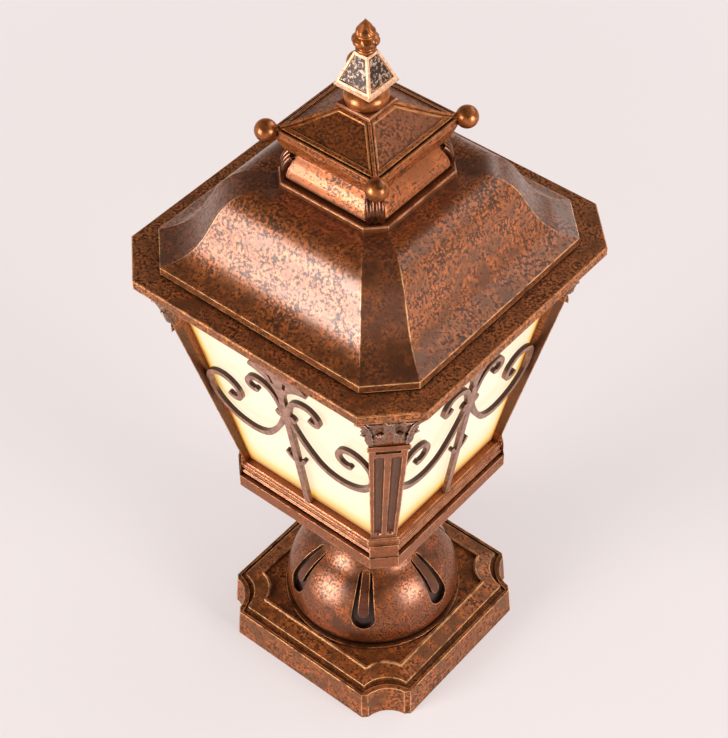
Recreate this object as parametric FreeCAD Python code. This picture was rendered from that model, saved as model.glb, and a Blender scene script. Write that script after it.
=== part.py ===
import FreeCAD, Part
import math
import os

# Pillar light: a square cast lantern on a fluted bun foot and a stepped plinth.
# Millimetres, +Z up. The origin is the middle of the plinth's underside, the
# -Y and +X sides are the two that a visitor sees from the path.

V = FreeCAD.Vector
UP = V(0, 0, 1)
OVERRUN = 2.0
ROOT_TWO = math.sqrt(2)
EVEN_OFFSET_SHARE = 2 - ROOT_TWO

# Plinth, a hollow casting with scooped corners
PLINTH_FLARE = 1.8
PLINTH_MARGIN = 7.3
PLINTH_RISE = 31.0
PLINTH_CHAMFER = 31.8
PLINTH_EAR = 6.0
PLINTH_SCOOP = 5.5
PLINTH_WALL = 4.5
PLINTH_WEB = 5.0
GROOVE_WIDTH = 4.6
GROOVE_DEPTH = 2.0
TIER_MARGIN = 13.6
TIER_CHAMFER = 28.2
TIER_RISE = 4.0
TIER_SLOPE_RISE = 3.2
TIER_EAR = 1.4
TIER_SCOOP = 7.0
RIDGE_MARGIN = 3.0
RIDGE_CHAMFER = 23.4
RIDGE_EAR = 1.4
RIDGE_SCOOP = 5.0
RIDGE_WIDTH = 2.2
RIDGE_PROUD = 1.4
BOLT_CIRCLE_RADIUS = 55.0
BOLT_HOLE_RADIUS = 5.0
BOLT_BOSS_RADIUS = 11.0

# Fluted bun foot
BUN_FLANGE_PROUD = 1.8
BUN_FLANGE_THICK = 2.5
BUN_UNDERCUT = 4.4
BUN_RADIUS = 79.8
BUN_BELLY_LIFT = 12.4
BUN_DOME_SHARE = 0.80
BUN_COVE_SHARE = 0.475
BUN_DOME_TURN = math.radians(54.53)
BUN_WALL = 6.5
FLUTE_COUNT = 6
FLUTE_START_ANGLE = -57.0
FLUTE_LOW_SHARE = 0.175
FLUTE_HIGH_SHARE = 0.735
FLUTE_FOOT_RADIUS = 10.9
FLUTE_HEAD_RADIUS = 6.2
FLUTE_DEPTH = 4.3
FLUTE_RIB_FOOT_RADIUS = 5.0
FLUTE_RIB_HEAD_RADIUS = 3.4
FLUTE_RIB_SHORT = 11.0
FLUTE_RIB_SUNK = 1.0

# Neck between the bun and the lantern tray
BEAD_PROUD = 4.4
BEAD_RISE = 9.0
VASE_FOOT_INSET = 3.1
VASE_FOOT_RISE = 4.0
VASE_WAIST_INSET = 6.5
VASE_WAIST_LIFT = 14.0
VASE_FLARE_TURN = math.radians(83.2)
VASE_LIP_RISE = 4.6
VASE_WALL = 4.0

# Lantern tray and sill
TRAY_Z = 201.8
TRAY_HALF = 90.9
TRAY_CHAMFER = 17.2
TRAY_THICK = 12.8
TRAY_FLOOR = 5.0
LEDGE_HALF = 64.0
SILL_HALF = 88.3
SILL_CHAMFER = 15.4
SILL_RISE = 14.4
SILL_RELIEF = 3.4
SILL_BEAD_SHARES = (
    (0.0, 0.95), (0.10, 0.95), (0.15, 0.32), (0.28, 0.0), (0.42, 0.32), (0.46, 0.62),
    (0.52, 0.62), (0.57, 0.34), (0.70, 0.12), (0.85, 0.34), (0.94, 0.80), (1.0, 1.0),
)

# Panel plane and corner posts; both lean outwards as they rise
PANEL_HALF_AT_SILL = 85.0
PANEL_LEAN = 0.168
POST_HALF_AT_SILL = 85.7
POST_LEAN = 0.2145
POST_CHAMFER_AT_SILL = 15.1
POST_CHAMFER_GROWTH = 0.04
POST_TOP_Z = 450.0
GLASS_THICK = 3.0
GLASS_LAP = 2.5
GLASS_CLEARANCE = 0.3
GLASS_SET_BACK = 2.5
SLOT_FLANGE_LAP = 2.0
SLOT_FLANGE_THICK = 3.0
POST_FLUTE_SHARE = 0.142
POST_FLUTE_PLACE_SHARE = 0.228
POST_FLUTE_SUNK_SHARE = 0.05
POST_FLUTE_FOOT_LIFT = 17.0
POST_FLUTE_HEAD_DROP = 68.0
POST_PANEL_WIDTH = 20.0
POST_PANEL_RISE = 7.0
POST_PANEL_DROP = 51.5
POST_PANEL_DEPTH = 1.2
SHOE_HALF = 90.3
SHOE_CHAMFER = 17.4
SHOE_BAND_PROUD = 4.6
SHOE_BAND_RISE = 5.4
SHOE_STEP_PROUD = 2.2
SHOE_STEP_RISE = 3.4
ASTRAGAL_DROP = 49.0
ASTRAGAL_RISE = 5.0
ASTRAGAL_PROUD = 2.0
CAPITAL_HALF = 138.0
CAPITAL_CHAMFER = 33.0
CAPITAL_FOOT_EASE = 0.4
CAPITAL_FLARE_SHARES = ((0.0, 0.0), (0.35, 0.16), (0.70, 0.50), (0.90, 0.92), (1.0, 1.0))
POST_SCREW_RADIUS = 2.0
POST_SCREW_HEAD_RADIUS = 3.6
POST_SCREW_HEAD_RISE = 2.4
POST_SCREW_BITE = 9.0
POST_SCREW_INSET = 4.6

# Scroll grilles
GRILLE_THICK = 4.0
STRAP_WIDTH = 4.8
STEM_WIDTH = 6.2
TENON_DEPTH = 1.5
RAIL_RISE = 13.0
GRILLE_SIDE_CLEARANCE = 0.2
SCROLL_ROOT_X = 3.0
SCROLL_ROOT_LIFT = 124.0
SCROLL_LEAD_RADIUS = 128.0
SCROLL_HEEL_RADIUS = 30.0
SCROLL_CROWN_RADIUS = 18.0
SCROLL_INNER_RADIUS = 16.5
SCROLL_EYE_RADIUS = 8.0
SCROLL_TIP_RADIUS = 5.0
CURL_ROOT_LIFT = 131.5
CURL_LEAD_RADIUS = 80.0
CURL_SHOULDER_RADIUS = 18.0
CURL_FALL_RADIUS = 12.5
CURL_TIP_RADIUS = 5.2
CURL_HEADING = 78
CURL_LEAD_HEADING = 66
CURL_END_HEADING = -225
LEAF_ROOT_LIFT = 61.0
LEAF_RADIUS = 12.0
LEAF_WIDTH = 3.8
LEAF_HEADING = 20
LEAF_END_HEADING = 75
KNUCKLE_X = 6.6
KNUCKLE_LIFT = 127.0
KNUCKLE_RADIUS = 4.2
CREST_ROOT_LIFT = 143.0
CREST_HALF = 31.0
CREST_LOBE_SHARES = (
    ((0.10, 0.00), (0.30, 0.32), (0.97, 0.46)), ((0.97, 0.46), (0.90, 0.56), (0.66, 0.56)),
    ((0.66, 0.56), (0.86, 0.66), (1.00, 0.84)), ((1.00, 0.84), (0.86, 0.90), (0.74, 1.00)),
)
CREST_EYE_X = 5.6
CREST_EYE_LIFT = 168.0
CREST_EYE_BEND = 36.0
CREST_EYE_WIDTH = 3.0
CREST_EYE_HEADING = 80
CREST_EYE_END_HEADING = 66

# Top ring, gasket, yoke and tie rod
RING_HALF = 138.0
RING_CHAMFER = 33.0
RING_THICK = 8.6
RING_GROOVE_DEPTH = 2.0
RING_LIP_DROP = 6.0
RING_LIP_THICK = 4.0
GASKET_HALF = 136.0
GASKET_WIDTH = 8.0
GASKET_THICK = 1.2
ROOF_SEAT_GAP = 0.3
YOKE_WIDTH = 22.0
YOKE_THICK = 4.0
YOKE_REACH = 134.0
YOKE_SCREW_X = 129.0
YOKE_SCREW_RADIUS = 2.0
YOKE_SCREW_HEAD_RADIUS = 3.4
ROD_RADIUS = 4.0
ROD_BORE_CLEARANCE = 0.4
ROD_NUT_FLAT = 6.5
ROD_NUT_RISE = 6.5

# Eave plate and bell roof
EAVE_HALF = 150.0
EAVE_CHAMFER = 36.9
EAVE_THICK = 9.0
EAVE_BEVEL = 0.8
EAVE_WIDTH = 32.0
BELL_INSET = 18.1
BELL_RECESS = 3.3
BELL_RECESS_RISE = 1.9
BELL_LIP_RISE = 6.6
BELL_HEIGHT = 62.4
BELL_HEAD_HALF = 50.0
BELL_WALL = 3.2
BELL_HEAD_THICK = 6.4
BELL_CHAMFER_SHARE = 0.2425
BELL_SHARES = (
    (1.0, 0.0), (0.865, 0.072), (0.722, 0.232), (0.632, 0.43), (0.566, 0.62),
    (0.49, 0.80), (0.40, 0.925), (0.31, 0.985), (0.20, 1.0), (0.0, 0.985),
)
EAVE_SCREW_RADIUS = 2.0
EAVE_SCREW_HEAD_RADIUS = 3.6

# Collar, crown neck, claws
COLLAR_HALF = 54.4
COLLAR_CHAMFER = 13.6
COLLAR_THICK = 6.6
COLLAR_SUNK = 2.2
NECK_HALF = 50.3
NECK_CHAMFER = 12.4
NECK_RISE = 24.8
NECK_HEAD_HALF = 40.5
NECK_WALL = 3.5
NECK_SHARES = (
    (0.0, 0.66), (0.06, 0.56), (0.14, 0.95), (0.22, 1.0), (0.45, 0.84),
    (0.70, 0.46), (0.90, 0.05), (1.0, 0.0),
)
CLAW_LOBES = 3
CLAW_LOBE_RADIUS = 2.7
CLAW_PITCH = 4.6
CLAW_RISE = 20.0
CLAW_BULGE = 3.0
CLAW_GAP = 0.3

# Cap roof and corner balls
CORNICE_HALF = 44.0
CORNICE_RISE = 14.0
CORNICE_COVE_SHARES = (0.35, 0.33)
CAP_HALF = 50.0
CAP_LIP_RISE = 7.6
CAP_LIP_WIDTH = 1.5
CAP_MOAT_WIDTH = 1.8
CAP_MOAT_DEPTH = 2.4
CAP_RISE = 16.0
CAP_HEAD_HALF = 14.0
CAP_FRAME = 3.4
CAP_PANEL_DEPTH = 0.8
CAP_SLOT_WIDTH = 0.9
CAP_SAG_SHARES = ((0.0, 0.0), (0.16, 0.10), (0.36, 0.29), (0.62, 0.58), (1.0, 1.0))
CAP_WALL = 3.0
HIP_RADIUS = 1.3
BALL_RADIUS = 9.0
BALL_CENTRE = 53.2
BALL_LIFT = 5.2
BALL_PIN_RADIUS = 3.0
BALL_PIN_LENGTH = 7.0
BALL_SEAT_CLEARANCE = 0.1

# Finial
FINIAL_PLATE_HALF = 16.2
FINIAL_PLATE_RISE = 3.8
FINIAL_BALL_RADIUS = 17.4
FINIAL_BALL_SEMI = 11.0
FINIAL_BALL_RISE = 15.6
FINIAL_BALL_SUNK = 5.2
PYRAMID_HALF = 17.0
PYRAMID_BASE_RISE = 3.6
PYRAMID_HEAD_HALF = 6.2
PYRAMID_RISE = 26.0
PYRAMID_FRAME = 2.2
PYRAMID_RECESS = 0.9
BUD_RING_RADIUS = 7.6
BUD_RADIUS = 9.7
BUD_THROAT_RADIUS = 6.4
BUD_RISE = 28.0
BUD_SHARES = (
    (0.0, 0.70), (0.05, 0.80), (0.11, 0.78), (0.15, 0.66), (0.22, 0.80), (0.32, 0.99),
    (0.40, 0.97), (0.48, 0.76), (0.53, 0.70), (0.60, 0.78), (0.68, 0.72), (0.80, 0.46), (0.91, 0.20),
)
BUD_BORE_CLEARANCE = 0.08
BUD_BORE_DEPTH = 13.0

# Stem tube, nuts and wiring parts
TUBE_RADIUS = 8.0
TUBE_BORE_RADIUS = 6.0
TUBE_HOLE_CLEARANCE = 0.4
TUBE_TAIL = 14.0
TUBE_HEAD = 13.0
TUBE_NUT_FLAT = 12.0
TUBE_NUT_RISE = 8.0
TUBE_WASHER_RADIUS = 17.0
TUBE_WASHER_THICK = 2.0
BUSH_FLANGE_RADIUS = 8.0
BUSH_FLANGE_THICK = 3.0
BUSH_SPIGOT = 6.0
BUSH_BORE_RADIUS = 4.2
BUSH_CLEARANCE = 0.05
BRACKET_HALF_SPAN = 34.0
BRACKET_WIDTH = 22.0
BRACKET_THICK = 2.0
BRACKET_RISE = 26.0
BRACKET_FOOT = 14.0
HOLDER_RADIUS = 21.5
HOLDER_BASE_RADIUS = 24.0
HOLDER_BASE_RISE = 6.0
HOLDER_RISE = 38.0
HOLDER_FLOOR = 9.0
LAMP_CAP_RADIUS = 13.2
LAMP_CAP_CLEARANCE = 0.1
LAMP_CAP_RISE = 27.0
LAMP_CAP_GAP = 1.0
BULB_RADIUS = 30.0
BULB_RISE = 80.0
BULB_NECK_RADIUS = 14.2
BULB_CLEARANCE = 0.6
BULB_JOIN_ANGLE = 38
BULB_NECK_SHARES = ((1.0, 0.0), (1.06, 0.12), (1.3, 0.24))
BLOCK_LENGTH = 34.0
BLOCK_WIDTH = 18.0
BLOCK_RISE = 15.0
BLOCK_POLES = 3
BLOCK_SCREW_RADIUS = 2.2
BLOCK_WIRE_RADIUS = 2.0
BLOCK_Y = 48.0
EARTH_X = 44.0
EARTH_Y = -40.0
EARTH_RADIUS = 2.5
EARTH_HEAD_RADIUS = 4.6
EARTH_HEAD_RISE = 3.0
EARTH_STUD_RISE = 5.0

# Widths that follow from the sizes above
BUN_FLANGE_RADIUS = BUN_RADIUS + BUN_FLANGE_PROUD
RIDGE_HALF = BUN_FLANGE_RADIUS + RIDGE_MARGIN
TIER_HALF = RIDGE_HALF + TIER_MARGIN
PLINTH_HALF_TOP = TIER_HALF + PLINTH_MARGIN
PLINTH_HALF_FOOT = PLINTH_HALF_TOP + PLINTH_FLARE
EAVE_OPENING_HALF = EAVE_HALF - EAVE_WIDTH
BELL_HALF = EAVE_HALF - BELL_INSET
BELL_RECESS_HALF = BELL_HALF - BELL_RECESS

# Heights that follow from the sizes above
BUN_Z = PLINTH_RISE + TIER_RISE + TIER_SLOPE_RISE - RIDGE_PROUD
BUN_BELLY_Z = BUN_Z + BUN_BELLY_LIFT
SILL_Z = TRAY_Z + TRAY_THICK
SILL_TOP_Z = SILL_Z + SILL_RISE
FLOOR_Z = TRAY_Z + TRAY_FLOOR
RING_TOP_Z = POST_TOP_Z + RING_THICK
EAVE_Z = RING_TOP_Z + GASKET_THICK + ROOF_SEAT_GAP
EAVE_TOP_Z = EAVE_Z + EAVE_THICK
BELL_Z = EAVE_TOP_Z + BELL_RECESS_RISE
BELL_SPRING_Z = BELL_Z + BELL_LIP_RISE
BELL_TOP_Z = BELL_SPRING_Z + BELL_HEIGHT
COLLAR_Z = BELL_TOP_Z - COLLAR_SUNK
NECK_Z = COLLAR_Z + COLLAR_THICK
CORNICE_Z = NECK_Z + NECK_RISE
CAP_Z = CORNICE_Z + CORNICE_RISE
CAP_FRAME_Z = CAP_Z + CAP_LIP_RISE
CAP_TOP_Z = CAP_FRAME_Z + CAP_RISE
BALL_Z = CAP_Z + BALL_LIFT
FINIAL_BALL_Z = CAP_TOP_Z + FINIAL_PLATE_RISE
PYRAMID_Z = FINIAL_BALL_Z + FINIAL_BALL_RISE
BUD_Z = PYRAMID_Z + PYRAMID_BASE_RISE + PYRAMID_RISE
YOKE_Z = RING_TOP_Z - YOKE_THICK
PANEL_TILT = math.atan(PANEL_LEAN)
ROD_BORE_RADIUS = ROD_RADIUS + ROD_BORE_CLEARANCE
HOLDER_Z = FLOOR_Z + BRACKET_RISE
LAMP_Z = HOLDER_Z + HOLDER_FLOOR + LAMP_CAP_GAP
TUBE_NUT_Z = PLINTH_RISE - TUBE_WASHER_THICK - TUBE_NUT_RISE


def polygon(points):
    """Closed wire through the points."""
    return Part.makePolygon(list(points) + [points[0]])


def octagon(half, chamfer, z):
    """Square of the given half width with its corners cut back by chamfer."""
    side = half - chamfer
    flat = ((half, -side), (half, side), (side, half), (-side, half),
            (-half, side), (-half, -side), (-side, -half), (side, -half))
    return polygon([V(x, y, z) for x, y in flat])


def square(half, z):
    """Plain square wire."""
    return polygon([V(half, -half, z), V(half, half, z), V(-half, half, z), V(-half, -half, z)])


def scooped(half, chamfer, ear, scoop, z):
    """Octagon whose corner faces keep an ear at each end and are hollowed between."""
    edges = []
    side = half - chamfer
    step = ear / ROOT_TWO
    for quarter in range(4):
        turn = FreeCAD.Rotation(UP, 90 * quarter)
        low = V(half, side, z)
        high = V(side, half, z)
        arc_start = V(half - step, side + step, z)
        arc_end = V(side + step, half - step, z)
        middle = (arc_start + arc_end) / 2 - V(scoop, scoop, 0) / ROOT_TWO
        after = V(-side, half, z)
        corner = [turn.multVec(p) for p in (low, arc_start, middle, arc_end, high, after)]
        edges.append(Part.makeLine(corner[0], corner[1]))
        edges.append(Part.Arc(corner[1], corner[2], corner[3]).toShape())
        edges.append(Part.makeLine(corner[3], corner[4]))
        edges.append(Part.makeLine(corner[4], corner[5]))
    return Part.Wire(edges)


def loft(wires, ruled=True):
    """Solid through the wires."""
    return Part.makeLoft(wires, True, ruled)


def stack(stations, half, chamfer):
    """Octagonal solid through (half width, z) stations, with evenly offset corners."""
    return loft([octagon(w, chamfer + (w - half) * EVEN_OFFSET_SHARE, z) for w, z in stations])


def prism(wire, rise):
    """Wire filled and raised along Z."""
    return Part.Face(wire).extrude(V(0, 0, rise))


def rod(radius, rise, x=0, y=0, z=0):
    """Upright cylinder."""
    return Part.makeCylinder(radius, rise, V(x, y, z))


def tube(outer, inner, rise, z):
    """Upright ring."""
    return rod(outer, rise, 0, 0, z).cut(rod(inner, rise, 0, 0, z))


def block(length, width, rise, x, y, z):
    """Box centred on (x, y) and standing at z."""
    return Part.makeBox(length, width, rise, V(x - length / 2, y - width / 2, z))


def hexagon(flat, rise, z):
    """Hexagonal prism by its half width across flats."""
    reach = flat / math.cos(math.pi / 6)
    corners = [V(reach * math.cos(math.pi * k / 3), reach * math.sin(math.pi * k / 3), z) for k in range(6)]
    return prism(polygon(corners), rise)


def spin(edges):
    """Solid of revolution from a closed outline in the XZ plane."""
    return Part.Face(Part.Wire(edges)).revolve(V(0, 0, 0), UP, 360)


def lines(points):
    """Straight edges through the (radius, z) points."""
    places = [V(r, 0, z) for r, z in points]
    return [Part.makeLine(a, b) for a, b in zip(places, places[1:])]


def smooth(points):
    """One curve through the (radius, z) points."""
    curve = Part.BSplineCurve()
    curve.interpolate([V(r, 0, z) for r, z in points])
    return curve.toShape()


def turned(shape, quarter):
    """Copy turned by quarter turns about the lamp's axis."""
    return shape.rotated(V(0, 0, 0), UP, 90 * quarter)


def around(shape):
    """All four quarter-turn copies."""
    return [turned(shape, quarter) for quarter in range(4)]


def diagonal(along, across, z):
    """Point on the (+X, -Y) corner's axes: along the diagonal, across it, and z."""
    return V((along + across) / ROOT_TWO, (across - along) / ROOT_TWO, z)


def panel_half(z):
    """Distance of the grille's front plane from the axis."""
    return PANEL_HALF_AT_SILL + PANEL_LEAN * (z - SILL_TOP_Z)


def post_half(z):
    """Half width over the post faces."""
    return POST_HALF_AT_SILL + POST_LEAN * (z - SILL_TOP_Z)


def post_chamfer(z):
    """Leg of the post's corner face."""
    return POST_CHAMFER_AT_SILL + POST_CHAMFER_GROWTH * (z - SILL_TOP_Z)


def post_side(z):
    """Half width of the panel bay between two posts."""
    return post_half(z) - post_chamfer(z)


def slot_front(z):
    """Front face of the glass slot."""
    return panel_half(z) - GRILLE_THICK / math.cos(PANEL_TILT) - GLASS_SET_BACK


def slot_back(z):
    """Back face of the glass slot."""
    return slot_front(z) - (GLASS_THICK + 2 * GLASS_CLEARANCE) / math.cos(PANEL_TILT)


# Plinth


def plinth():
    ceiling = PLINTH_RISE - GROOVE_DEPTH - PLINTH_WALL
    slope_z = PLINTH_RISE + TIER_RISE
    ridge_z = slope_z + TIER_SLOPE_RISE
    body = loft([scooped(PLINTH_HALF_FOOT, PLINTH_CHAMFER, PLINTH_EAR, PLINTH_SCOOP, 0),
                 scooped(PLINTH_HALF_TOP, PLINTH_CHAMFER, PLINTH_EAR, PLINTH_SCOOP, PLINTH_RISE)])
    moat = scooped(TIER_HALF + GROOVE_WIDTH, TIER_CHAMFER + GROOVE_WIDTH * EVEN_OFFSET_SHARE,
                   TIER_EAR, TIER_SCOOP, PLINTH_RISE - GROOVE_DEPTH)
    body = body.cut(prism(moat, GROOVE_DEPTH + OVERRUN))
    tier = scooped(TIER_HALF, TIER_CHAMFER, TIER_EAR, TIER_SCOOP, PLINTH_RISE - GROOVE_DEPTH)
    tier_edge = scooped(TIER_HALF, TIER_CHAMFER, TIER_EAR, TIER_SCOOP, slope_z)
    ridge_foot = scooped(RIDGE_HALF, RIDGE_CHAMFER, RIDGE_EAR, RIDGE_SCOOP, ridge_z)
    ridge = scooped(RIDGE_HALF, RIDGE_CHAMFER, RIDGE_EAR, RIDGE_SCOOP, slope_z)
    body = body.fuse([prism(tier, GROOVE_DEPTH + TIER_RISE), loft([tier_edge, ridge_foot]),
                      prism(ridge, TIER_SLOPE_RISE + RIDGE_PROUD)])
    inner = scooped(RIDGE_HALF - RIDGE_WIDTH, RIDGE_CHAMFER - RIDGE_WIDTH * EVEN_OFFSET_SHARE,
                    RIDGE_EAR, RIDGE_SCOOP, BUN_Z)
    body = body.cut(prism(inner, RIDGE_PROUD * 2 + OVERRUN))
    hollow = scooped(PLINTH_HALF_TOP - PLINTH_WALL, PLINTH_CHAMFER, PLINTH_EAR, PLINTH_SCOOP, -OVERRUN)
    upper = scooped(TIER_HALF - 2 * PLINTH_WALL, TIER_CHAMFER, TIER_EAR, TIER_SCOOP, ceiling)
    body = body.cut(prism(hollow, ceiling + OVERRUN)).cut(prism(upper, PLINTH_RISE - ceiling))
    reach = BOLT_CIRCLE_RADIUS / ROOT_TWO
    bosses = [rod(BOLT_BOSS_RADIUS, PLINTH_RISE + TIER_RISE - PLINTH_WEB / 2, x, y, 0)
              for x in (-reach, reach) for y in (-reach, reach)]
    body = body.fuse(bosses)
    holes = [rod(BOLT_HOLE_RADIUS, BUN_Z + 2 * OVERRUN, x, y, -OVERRUN)
             for x in (-reach, reach) for y in (-reach, reach)]
    holes.append(rod(TUBE_RADIUS + TUBE_HOLE_CLEARANCE, BUN_Z + 2 * OVERRUN, 0, 0, -OVERRUN))
    return body.cut(holes).removeSplitter()


# Fluted bun foot


def bun_bends(inset):
    """Radii of dome and cove, and the two centres as (radius, lift), of the bun sunk by inset."""
    dome = BUN_RADIUS * BUN_DOME_SHARE
    cove = BUN_RADIUS * BUN_COVE_SHARE
    apart = dome + cove
    dome_axis = BUN_RADIUS - dome
    centre = (dome_axis + apart * math.cos(BUN_DOME_TURN), apart * math.sin(BUN_DOME_TURN))
    return dome - inset, cove + inset, (dome_axis, 0), centre


def dome_radius(lift):
    """Radius of the bun's outside at a lift above the belly."""
    dome, cove, near, far = bun_bends(0)
    if lift < dome * math.sin(BUN_DOME_TURN):
        return near[0] + math.sqrt(dome ** 2 - lift ** 2)
    return far[0] - math.sqrt(cove ** 2 - (far[1] - lift) ** 2)


def cove_end():
    """Radius and z where the cove above the dome turns upright."""
    cove, centre = bun_bends(0)[1::2]
    return centre[0] - cove, BUN_BELLY_Z + centre[1]


def arc(start, middle, end):
    """Arc through three (radius, z) points."""
    return Part.Arc(V(start[0], 0, start[1]), V(middle[0], 0, middle[1]), V(end[0], 0, end[1])).toShape()


def bun_solid(inset):
    """Bun as a solid of revolution, sunk by inset, with no flange."""
    dome, cove, near, far = bun_bends(inset)
    top = cove_end()[1]
    foot_z = BUN_Z + BUN_FLANGE_THICK
    belly = (BUN_RADIUS - inset, BUN_BELLY_Z)
    waist = (belly[0] - BUN_UNDERCUT, foot_z)
    swell = (belly[0] - BUN_UNDERCUT / 4, (foot_z + BUN_BELLY_Z) / 2)

    def on_dome(turn):
        return near[0] + dome * math.cos(turn), BUN_BELLY_Z + dome * math.sin(turn)

    def on_cove(turn):
        return far[0] - cove * math.cos(turn), top - cove * math.sin(turn)

    edges = [arc(waist, swell, belly), arc(belly, on_dome(BUN_DOME_TURN / 2), on_dome(BUN_DOME_TURN)),
             arc(on_dome(BUN_DOME_TURN), on_cove(BUN_DOME_TURN / 2), on_cove(0))]
    return spin(edges + lines([on_cove(0), (0, top), (0, foot_z), waist]))


def teardrop(foot_radius, head_radius, shorten, overshoot, depth):
    """Prism of a teardrop outline standing across the dome at angle zero.

    The foot is drawn up by shorten and the head runs on by overshoot.
    """
    low, high = [V(dome_radius(BUN_RADIUS * share), 0, BUN_BELLY_Z + BUN_RADIUS * share)
                 for share in (FLUTE_LOW_SHARE, FLUTE_HIGH_SHARE)]
    along = (high - low).normalize()
    outward = V(along.z, 0, -along.x)
    across = outward.cross(along)
    foot = low + along * (foot_radius + shorten)
    head = high + along * (overshoot - head_radius)
    lean = math.asin((foot_radius - head_radius) / (head - foot).Length)

    def rim(centre, radius, angle):
        return centre + across * (radius * math.cos(angle)) + along * (radius * math.sin(angle))

    corners = [rim(foot, foot_radius, lean), rim(head, head_radius, lean),
               rim(head, head_radius, math.pi - lean), rim(foot, foot_radius, math.pi - lean)]
    edges = [Part.makeLine(corners[0], corners[1]),
             Part.Arc(corners[1], head + along * head_radius, corners[2]).toShape(),
             Part.makeLine(corners[2], corners[3]),
             Part.Arc(corners[3], foot - along * foot_radius, corners[0]).toShape()]
    face = Part.Face(Part.Wire(edges))
    face.translate(outward * -depth)
    return face.extrude(outward * (3 * depth))


def fluted_skirt():
    body = bun_solid(0)
    flange = rod(BUN_FLANGE_RADIUS, BUN_FLANGE_THICK, 0, 0, BUN_Z)
    step = 360 / FLUTE_COUNT
    groove = teardrop(FLUTE_FOOT_RADIUS, FLUTE_HEAD_RADIUS, 0, 0, 2 * BUN_WALL)
    rib = teardrop(FLUTE_RIB_FOOT_RADIUS, FLUTE_RIB_HEAD_RADIUS, FLUTE_RIB_SHORT, FLUTE_HEAD_RADIUS, 2 * BUN_WALL)
    groove, rib = [shape.rotated(V(0, 0, 0), UP, step / 2) for shape in (groove, rib)]
    cutter = groove.cut(bun_solid(FLUTE_DEPTH)).cut(rib.common(bun_solid(FLUTE_RIB_SUNK)))
    body = body.cut([cutter.rotated(V(0, 0, 0), UP, step * k) for k in range(FLUTE_COUNT)])
    mouth = rod(BUN_RADIUS - BUN_UNDERCUT - BUN_WALL, BUN_FLANGE_THICK + OVERRUN, 0, 0, BUN_Z - OVERRUN)
    body = body.fuse(flange).cut([bun_solid(BUN_WALL), mouth]).removeSplitter()
    return body.rotated(V(0, 0, 0), UP, FLUTE_START_ANGLE - step / 2)


# Neck


def neck_ring():
    end, top = cove_end()
    head = top + BEAD_RISE
    bead = arc((end, top), (end + BEAD_PROUD, top + BEAD_RISE / 2), (end, head))
    return spin([bead] + lines([(end, head), (end - BUN_WALL, head), (end - BUN_WALL, top), (end, top)]))


def vase_levels():
    """Foot, waist and lip heights of the neck, and its foot and waist radii."""
    end, top = cove_end()
    foot_z = top + BEAD_RISE
    foot = end - VASE_FOOT_INSET
    return foot_z, foot_z + VASE_WAIST_LIFT, TRAY_Z - VASE_LIP_RISE, foot, foot - VASE_WAIST_INSET


def neck_foot():
    """Lower casting of the neck, from the bead up to the waist."""
    foot_z, waist_z, _, foot, waist = vase_levels()
    cove_z = foot_z + VASE_FOOT_RISE
    cove = arc((foot, cove_z), (waist + VASE_WAIST_INSET / 4, (cove_z + waist_z) / 2), (waist, waist_z))
    throat = waist - VASE_WALL
    return spin([cove] + lines([(waist, waist_z), (throat, waist_z), (throat, foot_z), (foot, foot_z),
                                (foot, cove_z)]))


def neck_vase():
    """Upper casting of the neck, flaring from the waist to the tray."""
    _, waist_z, lip_z, _, waist = vase_levels()
    bend = (lip_z - waist_z) / math.sin(VASE_FLARE_TURN)
    centre = waist + bend

    def flare(reach, turn):
        return centre - reach * math.cos(turn), waist_z + reach * math.sin(turn)

    lip = flare(bend, VASE_FLARE_TURN)
    inner_bend = bend + VASE_WALL
    inner_turn = math.acos((centre - lip[0] + VASE_WALL) / inner_bend)
    inner = flare(inner_bend, inner_turn)
    throat = waist - VASE_WALL
    edges = lines([(throat, waist_z), (waist, waist_z)])
    edges += [arc((waist, waist_z), flare(bend, VASE_FLARE_TURN / 2), lip)]
    edges += lines([lip, (lip[0], TRAY_Z), (inner[0], TRAY_Z), inner])
    edges.append(arc(inner, flare(inner_bend, inner_turn / 2), (throat, waist_z)))
    return spin(edges)


# Tray with its sill, and what stands on it


def tray():
    plate = loft([octagon(TRAY_HALF, TRAY_CHAMFER, TRAY_Z),
                  octagon(TRAY_HALF, TRAY_CHAMFER, SILL_Z)])
    rim = stack([(SILL_HALF - SILL_RELIEF * w, SILL_Z + SILL_RISE * z) for z, w in SILL_BEAD_SHARES],
                SILL_HALF, SILL_CHAMFER)
    rebate_chamfer = slot_front(SILL_Z) - post_side(SILL_Z) - GLASS_LAP
    rebate = loft([octagon(slot_front(z), rebate_chamfer, z) for z in (SILL_Z, SILL_TOP_Z + OVERRUN)])
    ledge_chamfer = TRAY_CHAMFER * LEDGE_HALF / TRAY_HALF
    well = prism(octagon(LEDGE_HALF, ledge_chamfer, FLOOR_Z), TRAY_THICK + SILL_RISE)
    body = plate.fuse(rim).cut([rebate, well])
    notch_side = SHOE_HALF - SHOE_CHAMFER
    notch = Part.makeBox(TRAY_HALF, TRAY_HALF, SILL_RISE + OVERRUN,
                         V(notch_side, -notch_side - TRAY_HALF, SILL_Z))
    tenon = block(STEM_WIDTH + 2 * GRILLE_SIDE_CLEARANCE,
                  GRILLE_THICK / math.cos(PANEL_TILT) + 2 * GRILLE_SIDE_CLEARANCE,
                  TENON_DEPTH + OVERRUN, 0, -panel_half(SILL_TOP_Z) + GRILLE_THICK / 2,
                  SILL_TOP_Z - TENON_DEPTH)
    shank = loft([post_section(z, 0) for z in (SILL_Z, SILL_TOP_Z + OVERRUN)])
    body = body.cut(around(notch) + around(tenon) + around(shank))
    stem_hole = rod(TUBE_RADIUS + TUBE_HOLE_CLEARANCE, TRAY_THICK, 0, 0, TRAY_Z - OVERRUN)
    return body.cut([stem_hole] + around(lower_screw()) + bracket_screws()).removeSplitter()


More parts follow.
